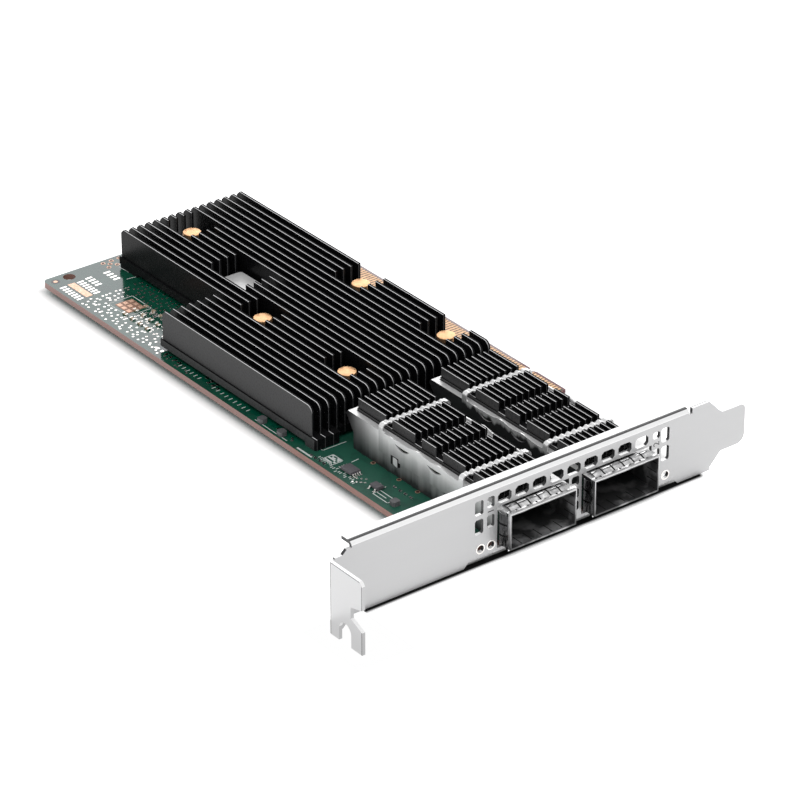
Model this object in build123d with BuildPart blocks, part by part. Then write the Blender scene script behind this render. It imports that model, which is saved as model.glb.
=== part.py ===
from build123d import *
from math import cos, radians, sin, tan
import os

# A two-port network interface card.
# The origin is the centre of the edge connector's key notch, at the finger tips and half
# way through the board. +X points out of the edge connector, +Y runs along the board away
# from the mounting bracket, and +Z points away from the component side.
# All lengths are in millimetres. Names that end in _from_edge are measured in X from the
# board's long edge opposite the fingers, and names that end in _from_face in Y from the
# bracket's outer face.

os.makedirs("parts", exist_ok=True)

# Board
board_length = 167.65
board_width = 60.65
board_thickness = 1.57
board_corner_radius = 1.5
board_from_face = 1.90
corner_hole_radius = 1.6
corner_hole_from_edge = 6.5
corner_hole_from_end = 2.45

# Edge connector
key_from_face = 59.05
key_width = 1.90
key_depth = 7.65
finger_length = 8.25
short_finger_length = 11.65
short_contact_count = 11
long_finger_length = 71.65
long_contact_count = 71
finger_corner_cut = 0.5
bevel_length = 1.30
bevel_angle = 20.0
hook_gap = 3.6
hook_length = 4.0
hook_reach = 6.2
hook_lip = 1.6
hook_lip_height = 2.4
contact_pitch = 1.00
contact_width = 0.70
contact_length = 4.40
contact_thickness = 0.05

# Clearances
seat_clearance = 0.10
sheet_clearance = 0.05
aperture_clearance = 0.20

# Main heatsink
heatsink_gap = 1.00
base_thickness = 1.87
base_rim = 0.45
fin_count = 23
near_fin_count = 7
fin_pitch = 2.38
fin_thickness = 0.66
fin_height = 7.90
first_fin_from_edge = 3.84
fins_front_from_face = 60.40
fins_rear_from_face = 163.60
near_fins_rear_from_face = 121.30
fin_front_radius = 1.8
fin_rear_cut = 1.1
pocket_length = 10.10
column_pocket_fin_counts = (3, 4)
rear_pocket_fin_count = 4
can_pocket_fin_count = 4
foot_length = 7.4
foot_width = 4.0
front_foot_reach = 1.9

# Shouldered screws, springs and nuts of the main heatsink
screw_rows_from_face = (72.80, 106.85)
screw_columns_from_edge = (23.05, 52.80)
rear_screw_from_face = 154.95
rear_screw_from_edge = 35.85
screw_head_radius = 2.35
screw_head_thickness = 1.2
screw_head_drop = 2.2
screw_shoulder_radius = 1.3
screw_thread_radius = 1.0
spring_radius = 1.85
spring_wire = 0.4
spring_step_count = 24
spring_step_angle = 45.0
nut_radius = 2.7
nut_thickness = 1.4

# Controller chip under the main heatsink
chip_size = 23.0
chip_substrate_thickness = 0.9
chip_lid_size = 17.0
chip_lid_thickness = 0.7
thermal_pad_thickness = 0.2
recess_margin = 1.0

# Metal can in the plate pocket of the main heatsink
can_width = 8.90
can_length = 12.70
can_height = 6.20
can_wall = 0.30
can_corner_radius = 0.8
can_from_edge = 31.20
can_from_face = 127.10
window_margin = 0.5

# Port cages
port_count = 2
port_pitch = 24.41
first_port_from_edge = 20.66
cage_width = 19.08
cage_height = 9.20
cage_wall = 0.40
cage_front_from_face = -3.77
cage_rear_from_face = 57.30
cage_rear_top_cut = 0.8
cage_rear_slope = 2.9
cage_rear_slope_height = 4.2
cage_floor_length = 40.0
cage_pin_width = 0.8
cage_pin_length = 2.1
cage_pin_pitch = 9.5
first_pin_from_rear = 6.65
cage_pin_count = 5
latch_window_length = 3.0
latch_window_height = 1.2
latch_window_rise = 3.5
latch_windows_from_face = (38.5, 19.0)

# Spring-finger collars
collar_sheet = 0.20
collar_front_from_face = -3.30
collar_rear_from_face = 0.60
collar_band = 0.60
collar_bulge = 0.45
collar_ramp = 1.10
collar_finger_pitch = 2.90
collar_slit = 0.50
collar_top_finger_count = 6
collar_side_finger_count = 3

# Riding heatsinks
rider_margin = 1.74
rider_base_thickness = 1.30
rider_dip = 0.25
rider_fin_count = 9
rider_fin_inset = 0.30
rider_fin_thickness = 0.60
rider_height = 3.07
rider_rear_from_face = 55.20
rider_front_from_face = 3.40
rider_grooves_from_face = ((42.20, 44.80), (31.15, 33.80), (23.30, 26.00), (12.20, 15.30))

# Clips over the riding heatsinks
clip_sheet = 0.35
clip_band_width = 1.5
clip_bands_from_face = (13.70, 43.50)
clip_band_rise = 1.30
clip_corner_cut = 0.80
clip_side_height = 5.4
clip_rail_width = 1.1
crescent_length = 5.0
crescent_height = 1.5
crescent_drop = 2.6
crescents_from_face = (21.5, 34.5)

# Connectors inside the cages
socket_width = 16.4
socket_height = 7.2
socket_length = 13.0
socket_slot_width = 13.4
socket_slot_height = 1.4
socket_slot_depth = 5.0

# Mounting bracket
sheet = 0.86
tab_from_edge = -36.10
bracket_length = 120.02
bracket_height = 18.42
board_above_bracket = 1.26
bend_radius = 1.2
fold_band = 1.37
flange_depth = 3.80
flange_start = 5.90
flange_end_from_tip = 17.32
flange_corner_radius = 2.0
relief_slit = 0.90
raised_edge = 1.20
plate_left_height = 16.00
taper_run = 3.95
tongue_width = 10.19
tongue_length = 7.27
tongue_base_from_bottom = 4.115
tongue_top_radius = 1.5
tongue_bottom_radius = 2.3
tongue_neck_radius = 1.5
plate_end_from_tip = 10.42
plate_end_rise = 0.80
left_drop = 2.65
left_drop_run = 6.0
left_drop_flat = 3.4
tab_reach = 11.43
tab_top_height = 15.66
tab_corner_radius = 1.3
slot_width = 4.42
slot_from_face = 5.30
slot_center_height = 0.35
tab_notch_depth = 4.08
tab_notch_inner_levels = (4.8, 7.7)
tab_notch_outer_levels = (3.05, 8.7)
ear_length = 10.3
ear_starts_from_screw = (-3.5, 0.7)
ear_widths = (7.0, 4.0)
second_ear_flare = 3.4
second_ear_neck = 2.6
ear_screw_from_face = 7.2
ear_screws_from_cages = (5.52, 3.19)
window_gap = 0.10

# Vents and lamp holes of the bracket, outwards from the sides of the port windows and
# upwards from the bottom edge; the row over the windows starts from the tab's outer face
vent_count = 9
vent_pitch = 5.00
first_vent = 48.48
vent_width = 3.9
vent_height = 2.7
vent_gap = 0.57
vent_corner_share = 0.17
outer_vent_width = 2.4
outer_vents_from_windows = (5.17, 4.09)
outer_vent_levels = ((7.5, 11.3), (12.4, 16.1))
inner_vent_width = 2.1
inner_vents_from_windows = (1.87, 1.39)
left_inner_vent_levels = ((8.2, 11.4), (13.3, 16.1))
right_inner_vent_levels = ((8.2, 11.4), (14.1, 15.85))
middle_vent_share = 0.59
middle_vent_levels = ((3.6, 6.0), (6.9, 9.3), (10.2, 12.6))
lamp_hole_radius = 0.95
left_lamps_from_window = (4.72, 1.72)
right_lamp_from_window = 4.39
lamp_rise = 0.75

# Screws of the bracket
ear_screw_head_radius = 2.2
ear_screw_head_height = 1.3
ear_screw_radius = 1.25
ear_screw_recess_radius = 0.9
ear_screw_recess_depth = 0.7

# Lamps
lamp_width = 1.6
lamp_length = 1.5
lamp_height = 1.4

# Small parts
memory_place = (4.1, 46.3)
memory_width = 3.0
memory_length = 4.1
memory_height = 1.3
memory_turn = 90.0
lead_reach = 0.9
lead_width = 0.32
lead_height = 0.35
memory_lead_pitch = 0.65
memory_lead_count = 4
regulator_place = (4.25, 36.45)
regulator_width = 1.7
regulator_length = 2.9
regulator_height = 1.0
regulator_turn = 0.0
regulator_lead_count = 2
regulator_lead_pitch = 1.95
coil_size = 2.0
coil_height = 1.2
coil_corner_cut = 0.35
coil_places = ((1.5, 77.4), (1.5, 69.6), (3.0, 28.0))
capacitor_width = 0.8
capacitor_length = 1.6
capacitor_height = 0.8
resistor_width = 0.5
resistor_length = 1.0
resistor_height = 0.35
# Banks of small parts: each bank's centre in X and Y with its pitch, and its columns and rows
capacitor_banks = ((9.5, 137.0, 3.2), (2.6, 17.0, 2.6), (7.4, 20.0, 3.0))
capacitor_bank_counts = ((3, 4), (1, 4), (1, 2))
resistor_banks = ((16.0, 127.5, 2.2), (7.6, 31.0, 2.0), (1.2, 55.0, 1.6))
resistor_bank_counts = ((2, 4), (1, 4), (1, 4))
lower_capacitor_banks = ((37.9, 87.9, 4.2),)
lower_capacitor_bank_counts = ((4, 4),)

# Derived positions
x_edge = -(finger_length + board_width)
x_side = -finger_length
y_face = -key_from_face
y_front = y_face + board_from_face
y_rear = y_front + board_length
z_top = board_thickness / 2
z_bottom = -board_thickness / 2
x_tab = x_edge + tab_from_edge
z_bracket = z_bottom - board_above_bracket
ports_x = [x_edge + first_port_from_edge + i * port_pitch for i in range(port_count)]
fin_x = [x_edge + first_fin_from_edge + i * fin_pitch for i in range(fin_count)]
z_base = z_top + heatsink_gap
z_fins = z_base + base_thickness
z_fin_tops = z_fins + fin_height
screw_places = [
    (x_edge + column, y_face + row) for column in screw_columns_from_edge for row in screw_rows_from_face
]
chip_x = x_edge + sum(screw_columns_from_edge) / 2
chip_y = y_face + sum(screw_rows_from_face) / 2
screw_places.append((x_edge + rear_screw_from_edge, y_face + rear_screw_from_face))
cage_sides_x = (ports_x[0] - cage_width / 2, ports_x[-1] + cage_width / 2)
ear_screws_x = (cage_sides_x[0] - ear_screws_from_cages[0], cage_sides_x[1] + ear_screws_from_cages[1])
ear_screw_places = [(x, y_face + ear_screw_from_face) for x in ear_screws_x]
cage_pins_y = [
    y_face + cage_rear_from_face - first_pin_from_rear - n * cage_pin_pitch for n in range(cage_pin_count)
]
pin_offset = (cage_width - cage_wall) / 2
cage_pin_places = [(x + side * pin_offset, y) for x in ports_x for side in (-1, 1) for y in cage_pins_y]
collar_reach = sheet_clearance + collar_sheet + collar_bulge + window_gap
windows_x = (cage_sides_x[0] - collar_reach, cage_sides_x[1] + collar_reach)
lamps_x = [windows_x[0] - offset for offset in left_lamps_from_window]
lamps_x.append(windows_x[1] + right_lamp_from_window)
screw_hole_radius = screw_thread_radius + seat_clearance
ear_hole_radius = ear_screw_radius + seat_clearance


def save(solid_part, name):
    """Label a finished piece and write it as one STEP file."""
    solid_part.label = name
    export_step(solid_part, f"parts/{name}.step")


# Board, with its edge connector, key notch, bevels and holes
with BuildPart() as board:
    with BuildSketch(Plane.XY.offset(z_bottom)):
        with Locations((x_edge, y_front)):
            Rectangle(board_width, board_length, align=(Align.MIN, Align.MIN))
        with Locations((x_side, -key_width / 2 - short_finger_length)):
            Rectangle(
                finger_length,
                short_finger_length + key_width + long_finger_length,
                align=(Align.MIN, Align.MIN),
            )
        with Locations((x_side, key_width / 2 + long_finger_length + hook_gap)):
            Rectangle(hook_reach, hook_length, align=(Align.MIN, Align.MIN))
        with Locations((x_side + hook_reach, key_width / 2 + long_finger_length + hook_gap)):
            Rectangle(hook_lip_height, hook_lip, align=(Align.MAX, Align.MAX))
        with Locations((key_width / 2 - key_depth, 0)):
            Rectangle(key_depth, key_width, align=(Align.MIN, Align.CENTER), mode=Mode.SUBTRACT)
            Circle(key_width / 2, mode=Mode.SUBTRACT)
    extrude(amount=board_thickness)
    rear_corners = board.edges().filter_by(Axis.Z).group_by(Axis.Y)[-1]
    fillet(rear_corners, board_corner_radius)
    tip_corners = board.edges().filter_by(Axis.Z).group_by(Axis.X)[-1]
    chamfer(tip_corners, finger_corner_cut)
    with BuildSketch(Plane.XZ):
        for side in (-1, 1):
            with BuildLine():
                Polyline(
                    (0, side * board_thickness / 2),
                    (-bevel_length, side * board_thickness / 2),
                    (0, side * (board_thickness / 2 - bevel_length * tan(radians(bevel_angle)))),
                    close=True,
                )
            make_face()
    extrude(amount=board_length, both=True, mode=Mode.SUBTRACT)
    with BuildSketch(Plane.XY.offset(z_bottom)):
        with Locations((x_edge + corner_hole_from_edge, y_rear - corner_hole_from_end)):
            Circle(corner_hole_radius)
        with Locations(*screw_places):
            Circle(screw_hole_radius)
        with Locations(*ear_screw_places):
            Circle(ear_hole_radius)
        with Locations(*cage_pin_places):
            Rectangle(cage_wall + 2 * seat_clearance, cage_pin_width + 2 * seat_clearance)
    extrude(amount=board_thickness, mode=Mode.SUBTRACT)
save(board.part, "board")

# Gold contacts on both faces of the fingers
contact_rows = (
    (-key_width / 2 - short_finger_length / 2, short_contact_count),
    (key_width / 2 + long_finger_length / 2, long_contact_count),
)
with BuildPart() as edge_contacts:
    for contact_z in (z_top, z_bottom - contact_thickness):
        with BuildSketch(Plane.XY.offset(contact_z)):
            for row_y, row_count in contact_rows:
                with Locations((-bevel_length - contact_length / 2, row_y)):
                    with GridLocations(0, contact_pitch, 1, row_count):
                        Rectangle(contact_length, contact_width)
        extrude(amount=contact_thickness)
save(edge_contacts.part, "edge_contacts")

# Controller chip and the thermal pad on its lid
with BuildPart() as controller_chip:
    with BuildSketch(Plane.XY.offset(z_top)):
        with Locations((chip_x, chip_y)):
            Rectangle(chip_size, chip_size)
    extrude(amount=chip_substrate_thickness)
    with BuildSketch(Plane.XY.offset(z_top + chip_substrate_thickness)):
        with Locations((chip_x, chip_y)):
            Rectangle(chip_lid_size, chip_lid_size)
    extrude(amount=chip_lid_thickness)
save(controller_chip.part, "controller_chip")

z_lid = z_top + chip_substrate_thickness + chip_lid_thickness
with BuildPart() as thermal_pad:
    with BuildSketch(Plane.XY.offset(z_lid)):
        with Locations((chip_x, chip_y)):
            Rectangle(chip_lid_size, chip_lid_size)
    extrude(amount=thermal_pad_thickness)
save(thermal_pad.part, "thermal_pad")

# Metal can that stands through a window of the main heatsink
can_x = x_edge + can_from_edge
can_y = y_face + can_from_face
with BuildPart() as shield_can:
    with BuildSketch(Plane.XY.offset(z_top)):
        with Locations((can_x, can_y)):
            RectangleRounded(can_width, can_length, can_corner_radius)
    extrude(amount=can_height)
    with BuildSketch(Plane.XY.offset(z_top)):
        with Locations((can_x, can_y)):
            Rectangle(can_width - 2 * can_wall, can_length - 2 * can_wall)
    extrude(amount=can_height - can_wall, mode=Mode.SUBTRACT)
save(shield_can.part, "shield_can")

# Main heatsink: an L-shaped base, fins with rounded front and cut rear corners, and
# pockets in the fins over each screw and over the metal can
base_x = fin_x[0] - fin_thickness / 2 - base_rim
base_end_x = fin_x[-1] + fin_thickness / 2
near_end_x = fin_x[near_fin_count] - fin_thickness / 2 - base_rim
y_fins_front = y_face + fins_front_from_face
y_fins_rear = y_face + fins_rear_from_face
y_near_rear = y_face + near_fins_rear_from_face


def fin_pocket(x, y, pocket_fins, length):
    """A block over the given count of whole fins nearest to a place, to clear them away."""
    first = round((x - fin_x[0]) / fin_pitch - (pocket_fins - 1) / 2)
    center_x = fin_x[first] + (pocket_fins - 1) * fin_pitch / 2
    with BuildPart() as pocket:
        with BuildSketch(Plane.XY.offset(z_fins)):
            with Locations((center_x, y)):
                Rectangle(pocket_fins * fin_pitch - fin_thickness, length)
        extrude(amount=fin_height)
    return pocket.part


pocket_fin_counts = [count for count in column_pocket_fin_counts for row in screw_rows_from_face]
pocket_fin_counts.append(rear_pocket_fin_count)
pockets = [
    fin_pocket(*place, count, pocket_length) for place, count in zip(screw_places, pocket_fin_counts)
]
can_pocket_length = can_length + 2 * window_margin + 2 * base_rim
pockets.append(fin_pocket(can_x, can_y, can_pocket_fin_count, can_pocket_length))

with BuildPart() as main_heatsink:
    with BuildSketch(Plane.XY.offset(z_base)):
        with Locations((near_end_x, y_fins_front)):
            Rectangle(
                base_end_x - near_end_x,
                y_fins_rear + base_rim - y_fins_front,
                align=(Align.MIN, Align.MIN),
            )
        with Locations((base_x, y_fins_front)):
            Rectangle(
                near_end_x - base_x,
                y_near_rear + base_rim - y_fins_front,
                align=(Align.MIN, Align.MIN),
            )
    extrude(amount=base_thickness)
    with BuildSketch(Plane.XY.offset(z_top)):
        with Locations((base_x, y_fins_front - front_foot_reach)):
            Rectangle(foot_length, foot_width, align=(Align.MIN, Align.MIN))
        chamfer(vertices().group_by(Axis.Y)[0], base_rim)
    extrude(amount=heatsink_gap + base_thickness)
    with BuildSketch(Plane.XY.offset(z_top)):
        with Locations((near_end_x, y_fins_rear)):
            Rectangle(foot_width, foot_length, align=(Align.MIN, Align.MAX))
    extrude(amount=heatsink_gap)
    for index, x in enumerate(fin_x):
        y_rear_end = y_near_rear if index < near_fin_count else y_fins_rear
        with BuildSketch(Plane.YZ.offset(x - fin_thickness / 2)):
            with BuildLine():
                Polyline(
                    (y_fins_front, z_fin_tops - fin_front_radius),
                    (y_fins_front, z_fins),
                    (y_rear_end, z_fins),
                    (y_rear_end, z_fin_tops - fin_rear_cut),
                    (y_rear_end - fin_rear_cut, z_fin_tops),
                    (y_fins_front + fin_front_radius, z_fin_tops),
                )
                RadiusArc(
                    (y_fins_front + fin_front_radius, z_fin_tops),
                    (y_fins_front, z_fin_tops - fin_front_radius),
                    -fin_front_radius,
                )
            make_face()
        extrude(amount=fin_thickness)
    add(pockets, mode=Mode.SUBTRACT)
    with BuildSketch(Plane.XY.offset(z_base)):
        with Locations(*screw_places):
            Circle(screw_shoulder_radius + seat_clearance)
        with Locations((can_x, can_y)):
            Rectangle(can_width + 2 * window_margin, can_length + 2 * window_margin)
    extrude(amount=base_thickness, mode=Mode.SUBTRACT)
    with BuildSketch(Plane.XY.offset(z_base)):
        with Locations((chip_x, chip_y)):
            Rectangle(chip_size + 2 * recess_margin, chip_size + 2 * recess_margin)
    extrude(amount=z_lid + thermal_pad_thickness - z_base, mode=Mode.SUBTRACT)
save(main_heatsink.part, "main_heatsink")

# Shouldered screws, from the flat heads between the fins to the nuts under the board
z_head = z_fin_tops - screw_head_drop
z_head_bottom = z_head - screw_head_thickness
with BuildPart() as heatsink_screws:
    for level, radius, length in (
        (z_head_bottom, screw_head_radius, screw_head_thickness),
        (z_top, screw_shoulder_radius, z_head_bottom - z_top),
        (z_bottom - nut_thickness, screw_thread_radius, board_thickness + nut_thickness),
    ):
        with BuildSketch(Plane.XY.offset(level)):
            with Locations(*screw_places):
                Circle(radius)
        extrude(amount=length)
save(heatsink_screws.part, "heatsink_screws")

# Springs between the base and the screw heads
spring_end = spring_wire / 2 + seat_clearance
spring_step_rise = (z_head_bottom - z_fins - 2 * spring_end) / spring_step_count
with BuildPart() as heatsink_springs:
    for x, y in screw_places:
        with BuildLine():
            coil_path = Polyline(
                *[
                    (
                        x + spring_radius * cos(radians(step * spring_step_angle)),
                        y + spring_radius * sin(radians(step * spring_step_angle)),
                        z_fins + spring_end + step * spring_step_rise,
                    )
                    for step in range(spring_step_count + 1)
                ]
            )
        with BuildSketch(Plane(coil_path @ 0, x_dir=(0, 0, 1), z_dir=coil_path % 0)):
            Rectangle(spring_wire, spring_wire)
        sweep(path=coil_path, transition=Transition.RIGHT)
save(heatsink_springs.part, "heatsink_springs")

# Nuts under the board
with BuildPart() as retainer_nuts:
    with BuildSketch(Plane.XY.offset(z_bottom - nut_thickness)):
        with Locations(*screw_places):
            RegularPolygon(nut_radius, 6)
            Circle(screw_hole_radius, mode=Mode.SUBTRACT)
    extrude(amount=nut_thickness)
save(retainer_nuts.part, "retainer_nuts")

# Port cages, collars, riding heatsinks, clips and connectors
y_cage_front = y_face + cage_front_from_face
y_cage_rear = y_face + cage_rear_from_face
z_cage = z_top + cage_height
rider_front = y_face + rider_front_from_face
rider_rear = y_face + rider_rear_from_face
rider_base_width = cage_width - 2 * rider_margin
rider_fin_span = rider_base_width - rider_fin_thickness - 2 * rider_fin_inset
rider_fin_pitch = rider_fin_span / (rider_fin_count - 1)
aperture_width = rider_base_width + 2 * aperture_clearance
aperture_front = rider_front - aperture_clearance
aperture_rear = rider_rear + aperture_clearance


def make_cage(port_x):
    """A folded sheet box, open at the mouth, below its rear part and over the riding heatsink."""
    with BuildPart() as cage:
        for inset, mode in ((0, Mode.ADD), (cage_wall, Mode.SUBTRACT)):
            width = cage_width - 2 * inset
            with BuildSketch(Plane.YZ.offset(port_x - width / 2)):
                with BuildLine():
                    Polyline(
                        (y_cage_front, z_top + inset),
                        (y_cage_front, z_cage - inset),
                        (y_cage_rear - cage_rear_top_cut - inset, z_cage - inset),
                        (y_cage_rear - inset, z_cage - cage_rear_top_cut - inset / 2),
                        (y_cage_rear - cage_rear_slope - inset, z_top + cage_rear_slope_height),
                        (y_cage_rear - cage_rear_slope - inset, z_top + inset),
                        close=True,
                    )
                make_face()
            extrude(amount=width, mode=mode)
        with BuildSketch(Plane.XY.offset(z_top)):
            with Locations((port_x, y_face + cage_floor_length)):
                Rectangle(
                    cage_width - 2 * cage_wall,
                    cage_rear_from_face - cage_rear_slope - cage_wall - cage_floor_length,
                    align=(Align.CENTER, Align.MIN),
                )
        extrude(amount=cage_wall, mode=Mode.SUBTRACT)
        with BuildSketch(Plane.XY.offset(z_cage)):
            with Locations((port_x, (aperture_front + aperture_rear) / 2)):
                Rectangle(aperture_width, aperture_rear - aperture_front)
        extrude(amount=-cage_wall, mode=Mode.SUBTRACT)
        with BuildSketch(Plane.YZ.offset(port_x)):
            with Locations(*[(y_face + y, z_top + latch_window_rise) for y in latch_windows_from_face]):
                Rectangle(latch_window_length, latch_window_height, align=(Align.CENTER, Align.MIN))
        extrude(amount=cage_width, both=True, mode=Mode.SUBTRACT)
        with BuildSketch(Plane.XY.offset(z_top)):
            with Locations(*[(port_x + side * pin_offset, y) for side in (-1, 1) for y in cage_pins_y]):
                Rectangle(cage_wall, cage_pin_width)
        extrude(amount=-cage_pin_length)
    return cage.part


def make_collar(port_x):
    """A band round the cage's mouth with bowed spring fingers that run back to the bracket."""
    y_band = y_face + collar_front_from_face
    y_tip = y_face + collar_rear_from_face
    inner_width = cage_width + 2 * sheet_clearance
    inner_height = cage_height + 2 * sheet_clearance
    center_z = z_top + cage_height / 2
    with BuildPart() as collar:
        with BuildSketch(Plane.XZ.offset(-y_band)):
            with Locations((port_x, center_z)):
                Rectangle(inner_width + 2 * collar_sheet, inner_height + 2 * collar_sheet)
                Rectangle(inner_width, inner_height, mode=Mode.SUBTRACT)
        extrude(amount=-collar_band)
        for turn, reach, count in (
            (0, inner_height / 2, collar_top_finger_count),
            (90, inner_width / 2, collar_side_finger_count),
            (180, inner_height / 2, collar_top_finger_count),
            (270, inner_width / 2, collar_side_finger_count),
        ):
            side_plane = Plane(
                origin=(port_x, 0, center_z),
                x_dir=(0, 1, 0),
                z_dir=Vector(1, 0, 0).rotate(Axis.Y, turn),
            )
            start = -collar_finger_pitch * count / 2 + collar_slit / 2
            for finger in range(count):
                with BuildSketch(side_plane.offset(start + finger * collar_finger_pitch)):
                    with BuildLine():
                        Polyline(
                            (y_band, reach),
                            (y_band, reach + collar_sheet),
                            (y_band + collar_ramp, reach + collar_sheet + collar_bulge),
                            (y_tip - collar_ramp, reach + collar_sheet + collar_bulge),
                            (y_tip, reach + collar_sheet),
                            (y_tip, reach),
                            (y_tip - collar_ramp, reach + collar_bulge),
                            (y_band + collar_ramp, reach + collar_bulge),
                            close=True,
                        )
                    make_face()
                extrude(amount=collar_finger_pitch - collar_slit)
    return collar.part


def make_rider(port_x):
    """A finned block whose base sits in the cage's top, with grooves across the fins."""
    z_rider = z_cage - cage_wall - rider_dip
    z_rider_fins = z_rider + rider_base_thickness
    rider_top = z_cage + rider_height
    with BuildPart() as rider:
        with BuildSketch(Plane.XY.offset(z_rider)):
            with Locations((port_x, (rider_front + rider_rear) / 2)):
                Rectangle(rider_base_width, rider_rear - rider_front)
        extrude(amount=rider_base_thickness)
        with BuildSketch(Plane.XY.offset(z_rider_fins)):
            with Locations((port_x, (rider_front + rider_rear) / 2)):
                with GridLocations(rider_fin_pitch, 0, rider_fin_count, 1):
                    Rectangle(rider_fin_thickness, rider_rear - rider_front)
            for groove_front, groove_rear in rider_grooves_from_face:
                with Locations((port_x, y_face + (groove_front + groove_rear) / 2)):
                    Rectangle(cage_width, groove_rear - groove_front, mode=Mode.SUBTRACT)
        extrude(amount=rider_top - z_rider_fins)
    return rider.part


def make_clip(port_x):
    """A folded frame: two bands across the fins, rails on the cage's top and pierced sides."""
    side_x = cage_width / 2 + sheet_clearance
    z_rail = z_cage + sheet_clearance
    y_ends = [y_face + y for y in clip_bands_from_face]
    span = y_ends[1] - y_ends[0]
    with BuildPart() as clip:
        for y in y_ends:
            with BuildSketch(Plane.XZ.offset(-(y - clip_band_width / 2))):
                with Locations((port_x, z_rail)):
                    for inset, mode in ((0, Mode.ADD), (clip_sheet, Mode.SUBTRACT)):
                        reach = side_x + clip_sheet - inset
                        rise = clip_band_rise + clip_sheet - inset
                        Polygon(
                            (-reach, 0),
                            (-reach, rise - clip_corner_cut),
                            (clip_corner_cut - reach, rise),
                            (reach - clip_corner_cut, rise),
                            (reach, rise - clip_corner_cut),
                            (reach, 0),
                            align=None,
                            mode=mode,
                        )
            extrude(amount=-clip_band_width)
        for side in (-1, 1):
            with BuildSketch(Plane.YZ.offset(port_x + side * side_x)):
                with Locations(((y_ends[0] + y_ends[1]) / 2, z_rail + clip_sheet)):
                    Rectangle(span + clip_band_width, clip_side_height, align=(Align.CENTER, Align.MAX))
                with Locations(*[(y_face + y, z_rail - crescent_drop) for y in crescents_from_face]):
                    Polygon(
                        (-crescent_length / 2, 0),
                        (-crescent_length / 4, crescent_height / 2),
                        (crescent_length / 4, crescent_height / 2),
                        (crescent_length / 2, 0),
                        (crescent_length / 4, -crescent_height / 2),
                        (-crescent_length / 4, -crescent_height / 2),
                        align=None,
                        mode=Mode.SUBTRACT,
                    )
            extrude(amount=side * clip_sheet)
            with BuildSketch(Plane.XY.offset(z_rail)):
                with Locations((port_x + side * side_x, (y_ends[0] + y_ends[1]) / 2)):
                    Rectangle(
                        clip_rail_width,
                        span + clip_band_width,
                        align=(Align.MIN if side < 0 else Align.MAX, Align.CENTER),
                    )
            extrude(amount=clip_sheet)
    return clip.part


def make_socket(port_x):
    """A moulded block at the rear of the cage with a slot for the plug's card edge."""
    y_socket_rear = y_cage_rear - cage_rear_slope - cage_wall - seat_clearance
    with BuildPart() as socket:
        with BuildSketch(Plane.XY.offset(z_top)):
            with Locations((port_x, y_socket_rear)):
                Rectangle(socket_width, socket_length, align=(Align.CENTER, Align.MAX))
        extrude(amount=socket_height)
        chamfer(socket.edges().filter_by(Axis.X).group_by(Axis.Y)[0].sort_by(Axis.Z)[-1], cage_wall)
        with BuildSketch(Plane.XZ.offset(-(y_socket_rear - socket_length))):
            with Locations((port_x, z_top + socket_height / 2)):
                Rectangle(socket_slot_width, socket_slot_height)
        extrude(amount=-socket_slot_depth, mode=Mode.SUBTRACT)
    return socket.part


for number, port_x in enumerate(ports_x, start=1):
    save(make_cage(port_x), f"port_cage_{number}")
    save(make_collar(port_x), f"finger_collar_{number}")
    save(make_rider(port_x), f"riding_heatsink_{number}")
    save(make_clip(port_x), f"heatsink_clip_{number}")
    save(make_socket(port_x), f"port_socket_{number}")

# Mounting bracket, one folded sheet
z_bracket_top = z_bracket + bracket_height
z_fold = z_bracket_top - fold_band
z_ear = z_bottom - sheet
x_tip = x_tab + bracket_length
x_plate_end = x_tip - plate_end_from_tip
x_flange_start = x_tab + flange_start
x_flange_end = x_tip - flange_end_from_tip
tongue_x = x_tip - tongue_length
tongue_z = z_bracket + tongue_base_from_bottom
slit_x = x_flange_end + relief_slit
ears_x = [screw_x + start for screw_x, start in zip(ear_screws_x, ear_starts_from_screw)]
x_raised_end = ears_x[1] + ear_widths[1]


def folded_strip(plane, length, leg_1, leg_2):
    """An L of sheet with a rounded bend; its outer corner runs from the plane's origin."""
    with BuildPart() as strip:
        with BuildSketch(plane):
            with BuildLine():
                FilletPolyline((leg_1, 0), (0, 0), (0, leg_2), radius=bend_radius)
                Line((0, leg_2), (sheet, leg_2))
                FilletPolyline((sheet, leg_2), (sheet, sheet), (leg_1, sheet), radius=bend_radius - sheet)
                Line((leg_1, sheet), (leg_1, 0))
            make_face()
        extrude(amount=length)
    return strip.part


top_flange = folded_strip(
    Plane(origin=(x_flange_end, y_face, z_bracket_top), x_dir=(0, 1, 0), z_dir=(-1, 0, 0)),
    x_flange_end - x_flange_start,
    flange_depth,
    fold_band,
)
tab = folded_strip(
    Plane(origin=(x_tab, y_face + sheet, z_bracket + tab_top_height), x_dir=(1, 0, 0), z_dir=(0, 0, -1)),
    tab_top_height + left_drop,
    fold_band,
    tab_reach + sheet,
)
ears = [
    folded_strip(
        Plane(origin=(x, y_face, z_ear), x_dir=(0, 1, 0), z_dir=(1, 0, 0)),
        width,
        ear_length,
        fold_band,
    )
    for x, width in zip(ears_x, ear_widths)
]


def vent_blocks(places, width, height):
    """Blocks with cut corners, one at each place in X and Z, that open the plate's vents."""
    with BuildPart() as blocks:
        with BuildSketch(Plane.XZ.offset(-y_face)) as openings:
            with Locations(*places):
                Rectangle(width, height)
            chamfer(openings.vertices(), width * vent_corner_share)
        extrude(amount=-sheet)
    return blocks.part


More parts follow.
